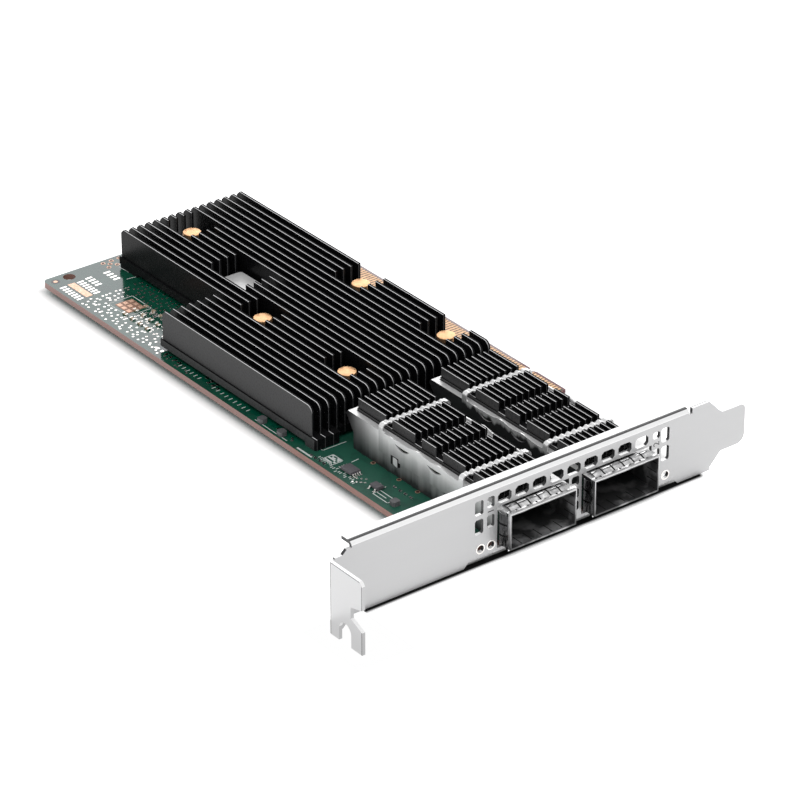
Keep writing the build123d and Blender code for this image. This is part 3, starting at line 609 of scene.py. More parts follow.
@dataclass(frozen=True)
class PlateFinish(Finish):
    """Satin plated sheet with painted light and shade: the front painted grey, the cut walls painted dark as
    shade, a painted dark rim of shade round its tab, and a painted dark reflection band in the upper bend.
    """

    face_y: float = 0.0
    top_z: float = 0.0
    tab_x: float = 0.0
    tab_end: float = 0.0
    tab_top: float = 0.0
    # Painted light and shade: a dark rim round the tab, front and tab tones by facing, dark cut walls, and a
    # dark reflection band in the bend.
    shade_rim_width: float = 0.22
    rim_shade_colour: Colour = (0.16, 0.16, 0.162)
    radius: float = 1.2
    front_painted_shading: Colour = (0.58, 0.58, 0.585)
    tab_painted_shading: Colour = (0.70, 0.70, 0.705)
    wall_shade_colour: Colour = (0.045, 0.045, 0.047)
    bend_reflection_colour: Colour = (0.06, 0.06, 0.062)
    reflection_band_angles: tuple[float, float] = (1.08, 1.95)
    reflection_band_fades: tuple[float, float] = (0.12, 0.08)
    tab_thickness: float = 2.0
    front_from: float = -0.98
    wall_from: float = -0.6
    bend_from: float = 0.12

    def paint(self, graph: Surface) -> object:
        """Paint light and shade by the surface's direction, and a dark reflection band by the angle round
        the upper bend.

        Formula: the angle is atan2(z - zc, yc - y), with the bend's axis at (yc, zc).
        """
        facing, axes = graph.facing(), graph.axes()
        # Painted light and shade by direction: the front, the tab and its dark cut walls.
        front = graph.below(facing[1], self.front_from)
        tone = graph.blend(front, super().paint(graph), self.front_painted_shading)
        wall = graph.below(facing[0], self.wall_from)
        past_tab = graph.above(axes[0], (self.tab_x + self.tab_thickness) * MM)
        tone = graph.blend(wall, tone, graph.blend(past_tab, self.tab_painted_shading, self.wall_shade_colour))
        # Painted shade: a dark rim round the tab.
        rim = graph.above(facing[1], self.bend_from)
        rim = graph.most(rim, graph.below(axes[1], (self.tab_end + self.shade_rim_width) * MM))
        rim = graph.most(rim, graph.above(axes[2], (self.tab_top - self.shade_rim_width) * MM))
        on_tab = graph.times(wall, graph.less(1.0, past_tab))
        tone = graph.blend(graph.times(rim, on_tab), tone, self.rim_shade_colour)
        # Painted reflection: a dark band round the upper bend.
        over = graph.less(axes[2], (self.top_z - self.radius) * MM)
        back = graph.less((self.face_y + self.radius) * MM, axes[1])
        angle = graph.maths("ARCTAN2", over, back)
        (first, last), (rise, fall) = self.reflection_band_angles, self.reflection_band_fades
        band = graph.times(graph.ramp(angle, first, first + rise), graph.ramp(angle, last, last - fall))
        return graph.blend(graph.times(band, graph.above(over, 0.0)), tone, self.bend_reflection_colour)


@dataclass(frozen=True)
class CageFinish(Finish):
    """Bright folded sheet with painted shade on the inner walls and towards its foot and rear, and painted
    reflections in patches at the mouth.
    """

    low: tuple[float, float, float] = (0.0, 0.0, 0.0)
    high: tuple[float, float, float] = (0.0, 0.0, 0.0)
    depth: float = 0.2
    cloud_size: float = 2.2
    cloud_height: float = 0.9
    rear_shade_fade: tuple[float, float] = (1.0, 12.0)
    mouth_depth: float = 12.0
    mouth_sheen_size: float = 4.5
    mouth_sheen_range: tuple[float, float] = (-1.0, 1.2)
    turned_from: float = 0.5
    shade: tuple[float, float] = (0.0, 1.0)
    rear: float = 0.0
    shaded_side: float = -2.0
    # The colours below are painted: shade on the foot, the inner walls and deep in the mouth, and
    # reflections in lighter patches at the mouth.
    mouth_shade_colour: Colour = (0.07, 0.07, 0.072)
    mouth_sheen_colour: Colour = (0.42, 0.42, 0.43)
    inner_shade_colour: Colour = (0.02, 0.02, 0.021)
    foot_shade_colour: Colour = (0.035, 0.035, 0.037)

    def paint(self, graph: Surface) -> object:
        """Paint shade on the inner walls away from the mouth and on the outer ones at the foot and the rear,
        with painted reflections in patches at the mouth.

        Formula: a point is inside when it lies deeper than the depth in the box in X and Z. Faces
        that look up or to +X stay bright.
        """
        axes, facing = graph.axes(), graph.facing()
        inside = graph.below(axes[2], (self.high[2] - self.depth) * MM)
        inside = graph.times(inside, graph.above(axes[0], (self.low[0] + self.depth) * MM))
        inside = graph.times(inside, graph.below(axes[0], (self.high[0] - self.depth) * MM))
        # Painted shade: darker towards the foot with a cloudy edge, towards the rear, and on the shaded
        # side.
        noise = graph.noise(self.cloud_size, Grain.ALONG_Z)
        cloud = graph.times(graph.between(noise, -self.cloud_height, self.cloud_height), MM)
        foot = graph.ramp(graph.maths("ADD", axes[2], cloud), *(level * MM for level in self.shade))
        rear = graph.ramp(axes[1], *((self.rear - fade) * MM for fade in self.rear_shade_fade))
        lit = graph.times(graph.times(foot, rear), graph.above(facing[0], self.shaded_side))
        lit = graph.most(lit, graph.above(facing[2], self.turned_from))
        lit = graph.most(lit, graph.above(facing[0], self.turned_from))
        outer = graph.blend(lit, self.foot_shade_colour, super().paint(graph))
        # Painted reflections in patches at the mouth, fading into painted shade further in.
        mouth = graph.ramp(axes[1], self.low[1] * MM, (self.low[1] + self.mouth_depth) * MM)
        share = graph.between(graph.noise(self.mouth_sheen_size), *self.mouth_sheen_range)
        mouth_sheen = graph.blend(share, self.mouth_shade_colour, self.mouth_sheen_colour)
        return graph.blend(inside, outer, graph.blend(mouth, mouth_sheen, self.inner_shade_colour))


@dataclass(frozen=True)
class CollarFinish(Finish):
    """Bright spring sheet with grey patches of painted reflection, and painted darker reflections on its
    upright sides.
    """

    # Painted reflection: the darker tone of the upright sides.
    side_painted_reflection: Colour = (0.11, 0.11, 0.112)
    side_from: float = 0.6

    def paint(self, graph: Surface) -> object:
        """Mix the painted reflection patches on top and the painted darker sides by the surface's direction.
        """
        side = graph.above(graph.maths("ABSOLUTE", graph.facing()[0]), self.side_from)
        return graph.blend(side, super().paint(graph), self.side_painted_reflection)


def black_fins(name: str, first_side: float, pitch: float) -> FinFinish:
    """The black finish for fins that start at a place in X and repeat at a pitch."""
    tones = ((0.004, 0.004, 0.0045), (0.007, 0.007, 0.008), (0.24, 0.34))
    return FinFinish(name, *tones, refraction=1.45, specular=0.1, first_side=first_side, pitch=pitch)


BOARD = BoardFinish(
    "solder_mask", (0.002, 0.076, 0.043), (0.001, 0.060, 0.035), (0.10, 0.16),
    refraction=1.6, specular=0.38, tint=(1.0, 0.84, 1.0),
)
GOLD = Finish("gold_plate", (0.46, 0.29, 0.17), (0.34, 0.20, 0.12), (0.26, 0.38), 1.0)
TINNED = Finish("tinned_pads", (0.86, 0.84, 0.82), (0.74, 0.70, 0.67), (0.16, 0.30), 1.0)
BARE_COPPER = Finish("copper_pads", (0.76, 0.48, 0.35), (0.68, 0.40, 0.28), (0.26, 0.40), 0.6)
COPPER_POUR = Finish("copper_pour", (0.30, 0.16, 0.10), (0.24, 0.12, 0.08), (0.3, 0.4), 0.4)
INK = Finish("legend_ink", (0.74, 0.78, 0.76), (0.66, 0.70, 0.68), (0.5, 0.6))
PALE = Finish("pale_sheet", (0.84, 0.84, 0.84), (0.76, 0.76, 0.76), (0.35, 0.45), 0.3)
# Painted shade for gaps, slits, windows, dimples and the cage behind the crescents.
PAINTED_SHADE = Finish("painted_shade", (0.008, 0.008, 0.008), (0.010, 0.010, 0.010), (0.5, 0.6), specular=0.1)
# Painted shade: the holes drawn as dark discs in a shaded copper tone.
SHADED_BORE = Finish("shaded_bore", (0.07, 0.02, 0.015), (0.05, 0.015, 0.01), (0.3, 0.4), 0.3)
BRIGHT = Finish(
    "bright_sheet", (0.80, 0.80, 0.80), (0.74, 0.74, 0.745), (0.12, 0.22), 1.0, grain=Grain.ALONG_Y
)
# The grey second colour makes patches of painted reflection.
COLLAR = CollarFinish(
    "collar_sheet", (0.88, 0.88, 0.88), (0.30, 0.30, 0.305), (0.12, 0.24), 1.0, mark_size=0.8
)
COPPER = Finish("copper_screws", (0.78, 0.46, 0.24), (0.72, 0.41, 0.20), (0.30, 0.40), 0.8)
SPRING = Finish("spring_wire", (0.50, 0.50, 0.50), (0.42, 0.42, 0.42), (0.25, 0.35), 1.0)
STEEL = Finish("zinc_steel", (0.62, 0.62, 0.60), (0.54, 0.54, 0.52), (0.25, 0.38), 1.0)
MOULDED = Finish(
    "black_moulding", (0.020, 0.020, 0.021), (0.030, 0.030, 0.031), (0.42, 0.55), mark_size=0.2
)
PACKAGE = Finish("chip_package", (0.075, 0.070, 0.080), (0.095, 0.090, 0.100), (0.35, 0.45), mark_size=0.2)
LAMP = Finish("lamp_lens", (0.20, 0.21, 0.19), (0.15, 0.16, 0.14), (0.15, 0.22))
PAD = Finish("soft_pad", (0.42, 0.42, 0.45), (0.36, 0.36, 0.39), (0.65, 0.8))
FERRITE = Finish("ferrite", (0.085, 0.085, 0.09), (0.12, 0.12, 0.125), (0.4, 0.55), mark_size=0.2)
CERAMIC = Finish("ceramic_body", (0.50, 0.38, 0.26), (0.43, 0.32, 0.21), (0.32, 0.45), mark_size=0.2)
GLAZE = Finish("resistor_glaze", (0.022, 0.022, 0.026), (0.035, 0.035, 0.040), (0.25, 0.35), mark_size=0.2)


def put(name: str, data: bpy.types.ID) -> bpy.types.Object:
    """Put new data into the scene as an object of this name."""
    made = bpy.data.objects.new(name, data)
    bpy.context.scene.collection.objects.link(made)
    return made


def make_piece(
    name: str, shape: Shape, finish: Finish, smooth_angle: float = 30.0
) -> bpy.types.Object:
    """Write a shape into a mesh object that rides on the card.

    Args:
        name: The piece's name.
        shape: Its points in millimetres and its faces.
        finish: What its surface is.
        smooth_angle: Edges sharper than this many degrees stay sharp.

    Returns:
        The object, at the origin and unscaled.
    """
    mesh = bpy.data.meshes.new(name)
    mesh.from_pydata((shape.points * MM).tolist(), [], shape.faces)
    mesh.update()
    mesh.polygons.foreach_set("use_smooth", np.ones(len(mesh.polygons), bool))
    mesh.set_sharp_from_angle(angle=math.radians(smooth_angle))
    mesh.materials.append(finish.material())
    piece = put(name, mesh)
    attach(piece, "root")
    LOG.info("made %s: %d faces", name, len(shape.faces))
    return piece


def dress(node: str, finish: Finish) -> None:
    """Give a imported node's surface a finish."""
    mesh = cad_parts[node].data
    mesh.materials.clear()
    mesh.materials.append(finish.material())
    LOG.info("dressed %s with %s", node, finish.name)


@dataclass(frozen=True)
class Datum:
    """The places that everything is measured from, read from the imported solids."""

    edge_x: float
    face_y: float
    top_z: float
    under_z: float

    @staticmethod
    def read(board_setback: float = 1.90) -> "Datum":
        """Read the datum from the board's box; its front edge lies back from the bracket's face."""
        low, high = box_mm("board")
        return Datum(float(low[0]), float(low[1]) - board_setback, float(high[2]), float(low[2]))

    def places(self, board_places: Sequence[Place], z: float) -> np.ndarray:
        """Turn board places into points (n, 3) at one level."""
        flat = np.array(board_places, float).reshape(-1, 2) + (self.edge_x, self.face_y)
        return points_at(flat[:, 0], flat[:, 1], z)


@dataclass(frozen=True)
class PadRow:
    """A straight row of equal pads."""

    start: Place
    step: Place
    count: int
    size: Place

    def places(self) -> list[Place]:
        """The pads' middles: start + k step."""
        (x, y), (along_x, along_y) = self.start, self.step
        return [(x + k * along_x, y + k * along_y) for k in range(self.count)]


@dataclass(frozen=True)
class ViaField:
    """A grid of vias, each shifted by chance."""

    start: Place
    step: Place
    counts: tuple[int, int]
    shift: float

    def places(self, draw: np.random.Generator) -> np.ndarray:
        """The vias' middles (n, 2): start + (i, j) step, each shifted by up to the shift."""
        grid = np.array([(i, j) for i in range(self.counts[0]) for j in range(self.counts[1])])
        grid = np.array(self.start) + grid * np.array(self.step)
        return grid + draw.uniform(-self.shift, self.shift, grid.shape)


@dataclass(frozen=True)
class BoardFace:
    """What is plated, printed and drilled on the board."""

    datum: Datum
    plating: float = 0.035
    ink: float = FILM
    via_ring: Round = (0.33, 10)
    via_hole: Round = (0.12, 8)
    hole_ring: Round = (0.60, 20)
    hole_wall: Round = (0.42, 16)
    strip_place: Place = (4.75, 159.5)
    strip_size: Place = (1.95, 8.4)
    square_place: Place = (9.8, 144.8)
    square_size: Place = (5.2, 5.9)
    nine_pitch: Place = (1.75, 1.98)
    nine_size: Place = (1.1, 1.3)
    fiducial_place: Place = (2.3, 166.99)
    fiducial_clearing: Round = (1.15, 28)
    fiducial_dot: Round = (0.55, 20)
    line_width: float = 0.22
    bar_ends: tuple[Place, Place] = ((0.85, 62.4), (0.85, 57.2))
    bar_width: float = 0.5
    code_place: Place = (3.0, 51.8)
    code_pitch: Place = (0.55, 0.65)
    code_cell: Place = (0.5, 0.6)
    code_cells: int = 5
    seed: int = 11
    upper_vias: ViaField = ViaField((1.6, 108.0), (1.4, 1.75), (14, 27), 0.55)
    under_vias: ViaField = ViaField((5.0, 8.0), (4.3, 5.3), (13, 29), 1.5)
    notch_y: float = 123.5
    fin_side_x: float = 2.6
    frame_low: Place = (5.8, 140.0)
    frame_high: Place = (13.8, 149.6)
    dash_runs: tuple[tuple[float, float, int], ...] = ((84.0, 98.0, 9), (104.0, 112.0, 6))
    dash_x: float = 1.6
    dash_length: float = 0.9
    dash_width: float = 0.25
    mark_run: tuple[float, float, int] = (41.5, 56.0, 22)
    mark_band: Place = (1.0, 2.4)
    mark_length: float = 0.55
    mark_width: float = 0.24
    hole_pads: tuple[Place, ...] = (
        (17.31, 168.02), (19.82, 168.05), (18.59, 166.76), (17.34, 165.36), (19.93, 165.46), (22.24, 168.15),
        (10.55, 46.15), (10.60, 36.40), (10.60, 29.40),
    )
    rows: tuple[PadRow, ...] = (
        PadRow((2.08, 155.55), (0.0, 1.26), 7, (1.9, 0.60)),
        PadRow((7.20, 155.75), (0.0, 1.22), 7, (1.9, 0.60)),
        PadRow((10.00, 159.20), (0.0, 1.45), 4, (1.9, 0.68)),
        PadRow((15.35, 159.00), (0.0, 1.45), 4, (1.9, 0.68)),
        PadRow((2.55, 43.70), (0.75, -0.85), 4, (0.50, 0.50)),
        PadRow((1.65, 42.20), (0.65, -0.72), 4, (0.50, 0.50)),
        PadRow((2.70, 113.00), (0.0, 1.9), 6, (0.9, 0.9)),
        PadRow((5.40, 115.00), (0.0, 2.3), 5, (1.0, 1.1)),
        PadRow((9.25, 138.30), (0.0, -1.9), 2, (1.0, 1.1)),
        PadRow((11.80, 138.40), (0.0, -1.9), 2, (1.0, 1.1)),
        PadRow((3.70, 102.90), (0.0, -2.1), 3, (0.9, 1.0)),
        PadRow((2.60, 100.80), (0.0, -1.9), 3, (0.9, 1.0)),
        PadRow((2.70, 72.60), (0.0, -1.1), 2, (0.9, 0.6)),
        PadRow((1.90, 66.00), (0.7, 0.8), 2, (0.7, 0.7)),
        PadRow((5.50, 62.30), (0.0, -1.0), 2, (1.0, 0.7)),
    )

    def lay(
        self, outline: np.ndarray, board_places: Sequence[Place], height: float, under: bool = False
    ) -> Shape:
        """Lay copies of an outline on the board's face, each rising by the height."""
        level = self.datum.under_z - height if under else self.datum.top_z
        return repeated(prism(outline, 0.0, height), self.datum.places(board_places, level))

    def pads(self) -> None:
        """Tinned pads in their rows."""
        shapes = [self.lay(rectangle(*row.size), row.places(), self.plating) for row in self.rows]
        make_piece("pads", Shape.joined(shapes), TINNED)

    def copper(self) -> None:
        """The bare copper strip between two pad rows and the square of nine pads."""
        strip = self.lay(rectangle(*self.strip_size), [self.strip_place], self.plating)
        square = self.lay(rectangle(*self.square_size), [self.square_place], self.plating)
        make_piece("copper_pour", square, COPPER_POUR)
        (x, y), (along_x, along_y) = self.square_place, self.nine_pitch
        nine = [(x + along_x * i, y + along_y * j) for i in (-1, 0, 1) for j in (-1, 0, 1)]
        pads = self.lay(rectangle(*self.nine_size), nine, 2 * self.plating)
        make_piece("copper_pads", Shape.joined([strip, pads]), BARE_COPPER)

    def vias(self, name: str, board_places: Sequence[Place], under: bool = False) -> None:
        """Small plated rings with a middle of painted shade for the hole."""
        rings = self.lay(circle(*self.via_ring), board_places, self.plating, under)
        make_piece(name, rings, TINNED)
        holes = self.lay(circle(*self.via_hole), board_places, self.plating + self.ink, under)
        make_piece(name + "_holes", holes, SHADED_BORE)

    def plated_rings(self) -> None:
        """The larger plated holes, their bores drawn as discs of painted shade."""
        rings = self.lay(circle(*self.hole_ring), self.hole_pads, self.plating)
        make_piece("hole_rings", rings, BARE_COPPER)
        walls = self.lay(circle(*self.hole_wall), self.hole_pads, self.plating + self.ink)
        make_piece("hole_walls", walls, SHADED_BORE)

    def fiducial(self) -> None:
        """A copper dot in a clear ring near the far corner."""
        ring = self.lay(circle(*self.fiducial_clearing), [self.fiducial_place], self.ink / 2)
        make_piece("fiducial_ring", ring, PACKAGE)
        dot = self.lay(circle(*self.fiducial_dot), [self.fiducial_place], self.plating)
        make_piece("fiducial_dot", dot, BARE_COPPER)

    def legend(self) -> None:
        """Printed lines: chip outlines, bars and a framed square of cells with no meaning."""
        lines = (
            ((19.47, 164.0), (20.1, 156.9), (17.4, 157.3)),
            ((4.04, 61.14), (4.90, 57.95), (11.55, 57.95)),
            ((0.85, 79.3), (0.85, 66.8)),
            ((6.2, 149.0), (13.3, 149.0), (13.3, 140.6), (6.2, 140.6), (6.2, 149.0)),
            ((6.9, 49.5), (8.9, 49.7)),
            ((2.5, 54.9), (5.6, 54.9), (5.6, 51.2), (2.5, 51.2), (2.5, 54.9)),
            ((2.1, 35.2), (4.3, 35.2), (4.3, 29.6), (2.1, 29.6), (2.1, 35.2)),
            ((3.2, 35.2), (3.2, 31.6)),
            ((4.3, 29.9), (4.1, 27.6)),
        )
        shapes = [self.stroke(a, b, self.line_width) for line in lines for a, b in zip(line, line[1:])]
        shapes.append(self.stroke(*self.bar_ends, self.bar_width))
        (x, y), (along_x, along_y), cells = self.code_place, self.code_pitch, range(self.code_cells)
        inked = [(i, j) for i in cells for j in cells if (3 * i + 2 * j * j) % self.code_cells > 1]
        square = [(x + along_x * i, y + along_y * j) for i, j in inked]
        shapes.append(self.lay(rectangle(*self.code_cell), square, self.ink))
        make_piece("legend", Shape.joined(shapes), INK)

    def stroke(self, start: Place, end: Place, width: float) -> Shape:
        """A printed line between two board places, with square ends half its width long."""
        a, b = self.datum.places([start, end], self.datum.top_z)
        along = (b - a) / np.linalg.norm(b - a) * width / 2
        aside = np.array([-along[1], along[0], 0.0])
        corners = np.array([a - along - aside, b + along - aside, b + along + aside, a - along + aside])
        return prism(corners[:, :2], self.datum.top_z, self.datum.top_z + self.ink)

    def small_marks(self) -> None:
        """Scattered vias and short printed dashes in the areas that are thick with them.

        The upper vias keep off the ground under the fins and out of the printed frame.
        """
        draw = np.random.default_rng(self.seed)
        upper = self.upper_vias.places(draw)
        x, y = upper.T
        beside_fins = (y > self.notch_y) | (x < self.fin_side_x)
        framed = (x > self.frame_low[0]) & (x < self.frame_high[0])
        framed &= (y > self.frame_low[1]) & (y < self.frame_high[1])
        self.vias("vias", upper[beside_fins & ~framed].tolist())
        self.vias("lower_vias", self.under_vias.places(draw).tolist(), under=True)
        dashes = []
        for start, end, count in self.dash_runs:
            for y in np.linspace(start, end, count):
                ends = ((self.dash_x, y), (self.dash_x + self.dash_length, y))
                dashes.append(self.stroke(*ends, self.dash_width))
        first, last, count = self.mark_run
        marks = zip(draw.uniform(*self.mark_band, count), np.linspace(first, last, count))
        dashes += [self.stroke((x, y), (x + self.mark_length, y), self.mark_width) for x, y in marks]
        make_piece("dashes", Shape.joined(dashes), INK)

    def build(self) -> None:
        """Dress the board and lay everything on it."""
        dress("board", BOARD)
        dress("edge_contacts", GOLD)
        self.pads()
        self.copper()
        self.plated_rings()
        self.fiducial()
        self.legend()
        self.small_marks()


@dataclass(frozen=True)
class MainHeatsink:
    """The finned block with its shouldered screws and springs."""

    datum: Datum
    head_thickness: float = 1.2
    shoulder_radius: float = 1.3
    thread_radius: float = 1.0
    rim: float = 0.18
    wire: Round = (0.2, 8)
    turns: float = 3.0
    turn_steps: int = 24
    base_rim: float = 0.45
    fin_pitch: float = 2.38
    screw_sides: int = 40
    core: float = 0.02

    def screws(self) -> None:
        """Turned screws, their head rims rounded by a quarter circle."""
        solids = solids_of("heatsink_screws")
        low, high = solids[0]
        head = (high[0] - low[0]) / 2
        top = high[2] - low[2]
        seat = self.datum.top_z - low[2]
        turn = np.linspace(0, math.pi / 2, 6)
        rim = np.array([head, top]) - self.rim + self.rim * np.column_stack([np.sin(turn), np.cos(turn)])
        profile = [
            (self.core, 0.0),
            (self.thread_radius, 0.0),
            (self.thread_radius, seat),
            (self.shoulder_radius, seat),
            (self.shoulder_radius, top - self.head_thickness),
            (head, top - self.head_thickness),
            *rim[::-1],
            (self.core, top),
        ]
        screws = repeated(lathe(profile, self.screw_sides), feet_of(solids))
        piece = make_piece("shouldered_screws", screws, COPPER)
        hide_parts("heatsink_screws")

    def springs(self) -> None:
        """Round-wire coils: radius (cos a, sin a) with the height rising evenly with a."""
        solids = solids_of("heatsink_springs")
        low, high = solids[0]
        thick = self.wire[0]
        radius = (high[0] - low[0]) / 2 - thick
        angle = np.linspace(0, 2 * math.pi * self.turns, int(self.turn_steps * self.turns))
        height = thick + (high[2] - low[2] - 2 * thick) * angle / angle[-1]
        path = points_at(radius * np.cos(angle), radius * np.sin(angle), height)
        coil = tube(path, *self.wire, Vector((0, 0, 1)))
        piece = make_piece("wire_springs", repeated(coil, feet_of(solids)), SPRING)
        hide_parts("heatsink_springs")

    def build(self) -> None:
        """Dress the block and what holds it down."""
        side = float(box_mm("main_heatsink")[0][0]) + self.base_rim
        dress("main_heatsink", black_fins("black_fins", side, self.fin_pitch))
        dress("shield_can", PALE)
        dress("retainer_nuts", STEEL)
        dress("controller_chip", PACKAGE)
        dress("thermal_pad", PAD)
        self.screws()
        self.springs()


@dataclass(frozen=True)
class SpringClip:
    """The folded clip over a riding heatsink: two wavy bands and two pierced sides."""

    number: int
    fin_pitch: float
    first_gap: float
    sheet: float = 0.35
    band_width: float = 1.5
    band_rise: float = 1.9
    corner: float = 1.0
    side_height: float = 5.4
    fillet: float = 0.8
    wave: float = 0.22
    swellings: tuple[Place, Place] = ((17.0, 0.55), (8.9, 0.40))
    swelling_length: float = 2.4
    crown: float = 0.12
    crescents: tuple[float, float] = (22.4, 10.4)
    crescent_length: float = 5.4
    crescent_drop: float = 0.95
    crescent_depths: tuple[float, float] = (0.15, 0.95)
    back_gap: float = 0.03
    rail_steps: int = 60
    band_steps: int = 100
    crescent_steps: int = 13
    shades: tuple[Place, Place] = ((9.0, 1.2), (1.3, 0.4))
    band_depth: float = 3.0
    rear_reach: float = 9.0

    def side_outlines(self, length: float) -> list[np.ndarray]:
        """Give a side's outline (y, z) and its crescents.

        Formula: the rail's edge is crowned by half a sine wave and swells by
        h exp(-((y - y0) / l) ^ 2) at each swelling, and a crescent lies between the parabolas
        -d (1 - s ^ 2) of its two depths, s from -1 to 1.

        Args:
            length: The clip's length in Y.

        Returns:
            The outer line and the holes, from the clip's front end and the rail's top.
        """
        leg, bend = self.band_rise - self.corner, self.fillet
        y = np.linspace(length - self.band_width - bend, self.band_width + bend, self.rail_steps)
        edge = self.crown * np.sin(math.pi * (y - y[-1]) / (y[0] - y[-1]))
        for middle, height in self.swellings:
            edge += height * np.exp(-(((y - middle) / self.swelling_length) ** 2))
        far = arc((length - self.band_width - bend, bend), bend, 0, -90)
        near = arc((self.band_width + bend, bend), bend, -90, -180)
        ends = [(0.0, leg), (0.0, -self.side_height), (length, -self.side_height), (length, leg)]
        ends.append((length - self.band_width, leg))
        rail = np.column_stack([y, edge])[1:-1]
        outline = np.concatenate([ends, far, rail, near, [(self.band_width, leg)]])
        s = np.linspace(-1, 1, self.crescent_steps)
        bow = 1 - s**2
        upper, lower = self.crescent_depths
        holes = []
        for middle in self.crescents:
            along = middle + s * self.crescent_length / 2
            under = np.column_stack([along, -self.crescent_drop - lower * bow])
            over = np.column_stack([along, -self.crescent_drop - upper * bow])[1:-1]
            holes.append(np.concatenate([under, over[::-1]]))
        return [outline, *holes]

    def band_path(self, reach: float, middle: float) -> np.ndarray:
        """Give the middle line (x, z) of a band across the fins.

        Formula: two quarter arcs joined by a line whose height swings by the wave's cosine at the
        fins' pitch, highest between two fins, and fades out within a millimetre of the arcs.
        """
        radius = self.corner - self.sheet / 2
        span = reach - self.corner
        top = self.band_rise - self.sheet / 2
        x = np.linspace(-span, span, self.band_steps)
        fade = np.clip(span - np.abs(x), 0.0, 1.0)
        swing = self.wave * fade * np.cos(2 * math.pi * (x + middle - self.first_gap) / self.fin_pitch)
        left = arc((-span, top - radius), radius, 180, 90)
        right = arc((span, top - radius), radius, 90, 0)
        line = np.concatenate([left, np.column_stack([x, top + swing])[1:-1], right])
        return line + np.array([middle, 0.0])

    def build(self) -> None:
        """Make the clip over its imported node."""
        node = f"heatsink_clip_{self.number}"
        low, high = box_mm(node)
        rail = float(low[2]) + self.side_height
        middle, reach = float(low[0] + high[0]) / 2, float(high[0] - low[0]) / 2
        side = cut_sheet(self.side_outlines(float(high[1] - low[1])), self.sheet)
        shapes = []
        for direction in (-1, 1):
            place = (middle + direction * (reach - self.sheet / 2), low[1], rail)
            shapes.append(side.turned(standing(place)))
        band = bent_strip(self.band_path(reach, middle), self.sheet, self.band_width)
        half = self.band_width / 2
        shapes.append(repeated(band, np.array([(0.0, low[1] + half, rail), (0.0, high[1] - half, rail)])))
        dark, bright = self.shades[self.number - 1]
        finish = CageFinish(
            f"clip_sheet_{self.number}", BRIGHT.colour, BRIGHT.second_colour, (0.30, 0.36), 0.6,
            mark_size=3.0, low=tuple(low), high=tuple(high), depth=self.band_depth,
            shade=(rail - dark, rail - bright), rear=high[1] + self.rear_reach,
        )
        piece = make_piece(f"spring_clip_{self.number}", Shape.joined(shapes), finish)
        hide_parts(node)
        self.crescent_backs(low, high, rail)

    def crescent_backs(self, low: np.ndarray, high: np.ndarray, rail: float) -> None:
        """Strips of painted shade on the cage behind the crescents."""
        gap = self.sheet + self.back_gap
        level = rail - self.crescent_drop - sum(self.crescent_depths) / 2
        strip = cut_sheet([rectangle(self.crescent_length, self.crescent_depths[1])], FILM)
        strips = [
            strip.turned(standing((x, low[1] + along, level)))
            for x in (low[0] + gap, high[0] - gap)
            for along in self.crescents
        ]
        make_piece(f"crescent_backs_{self.number}", Shape.joined(strips), PAINTED_SHADE)


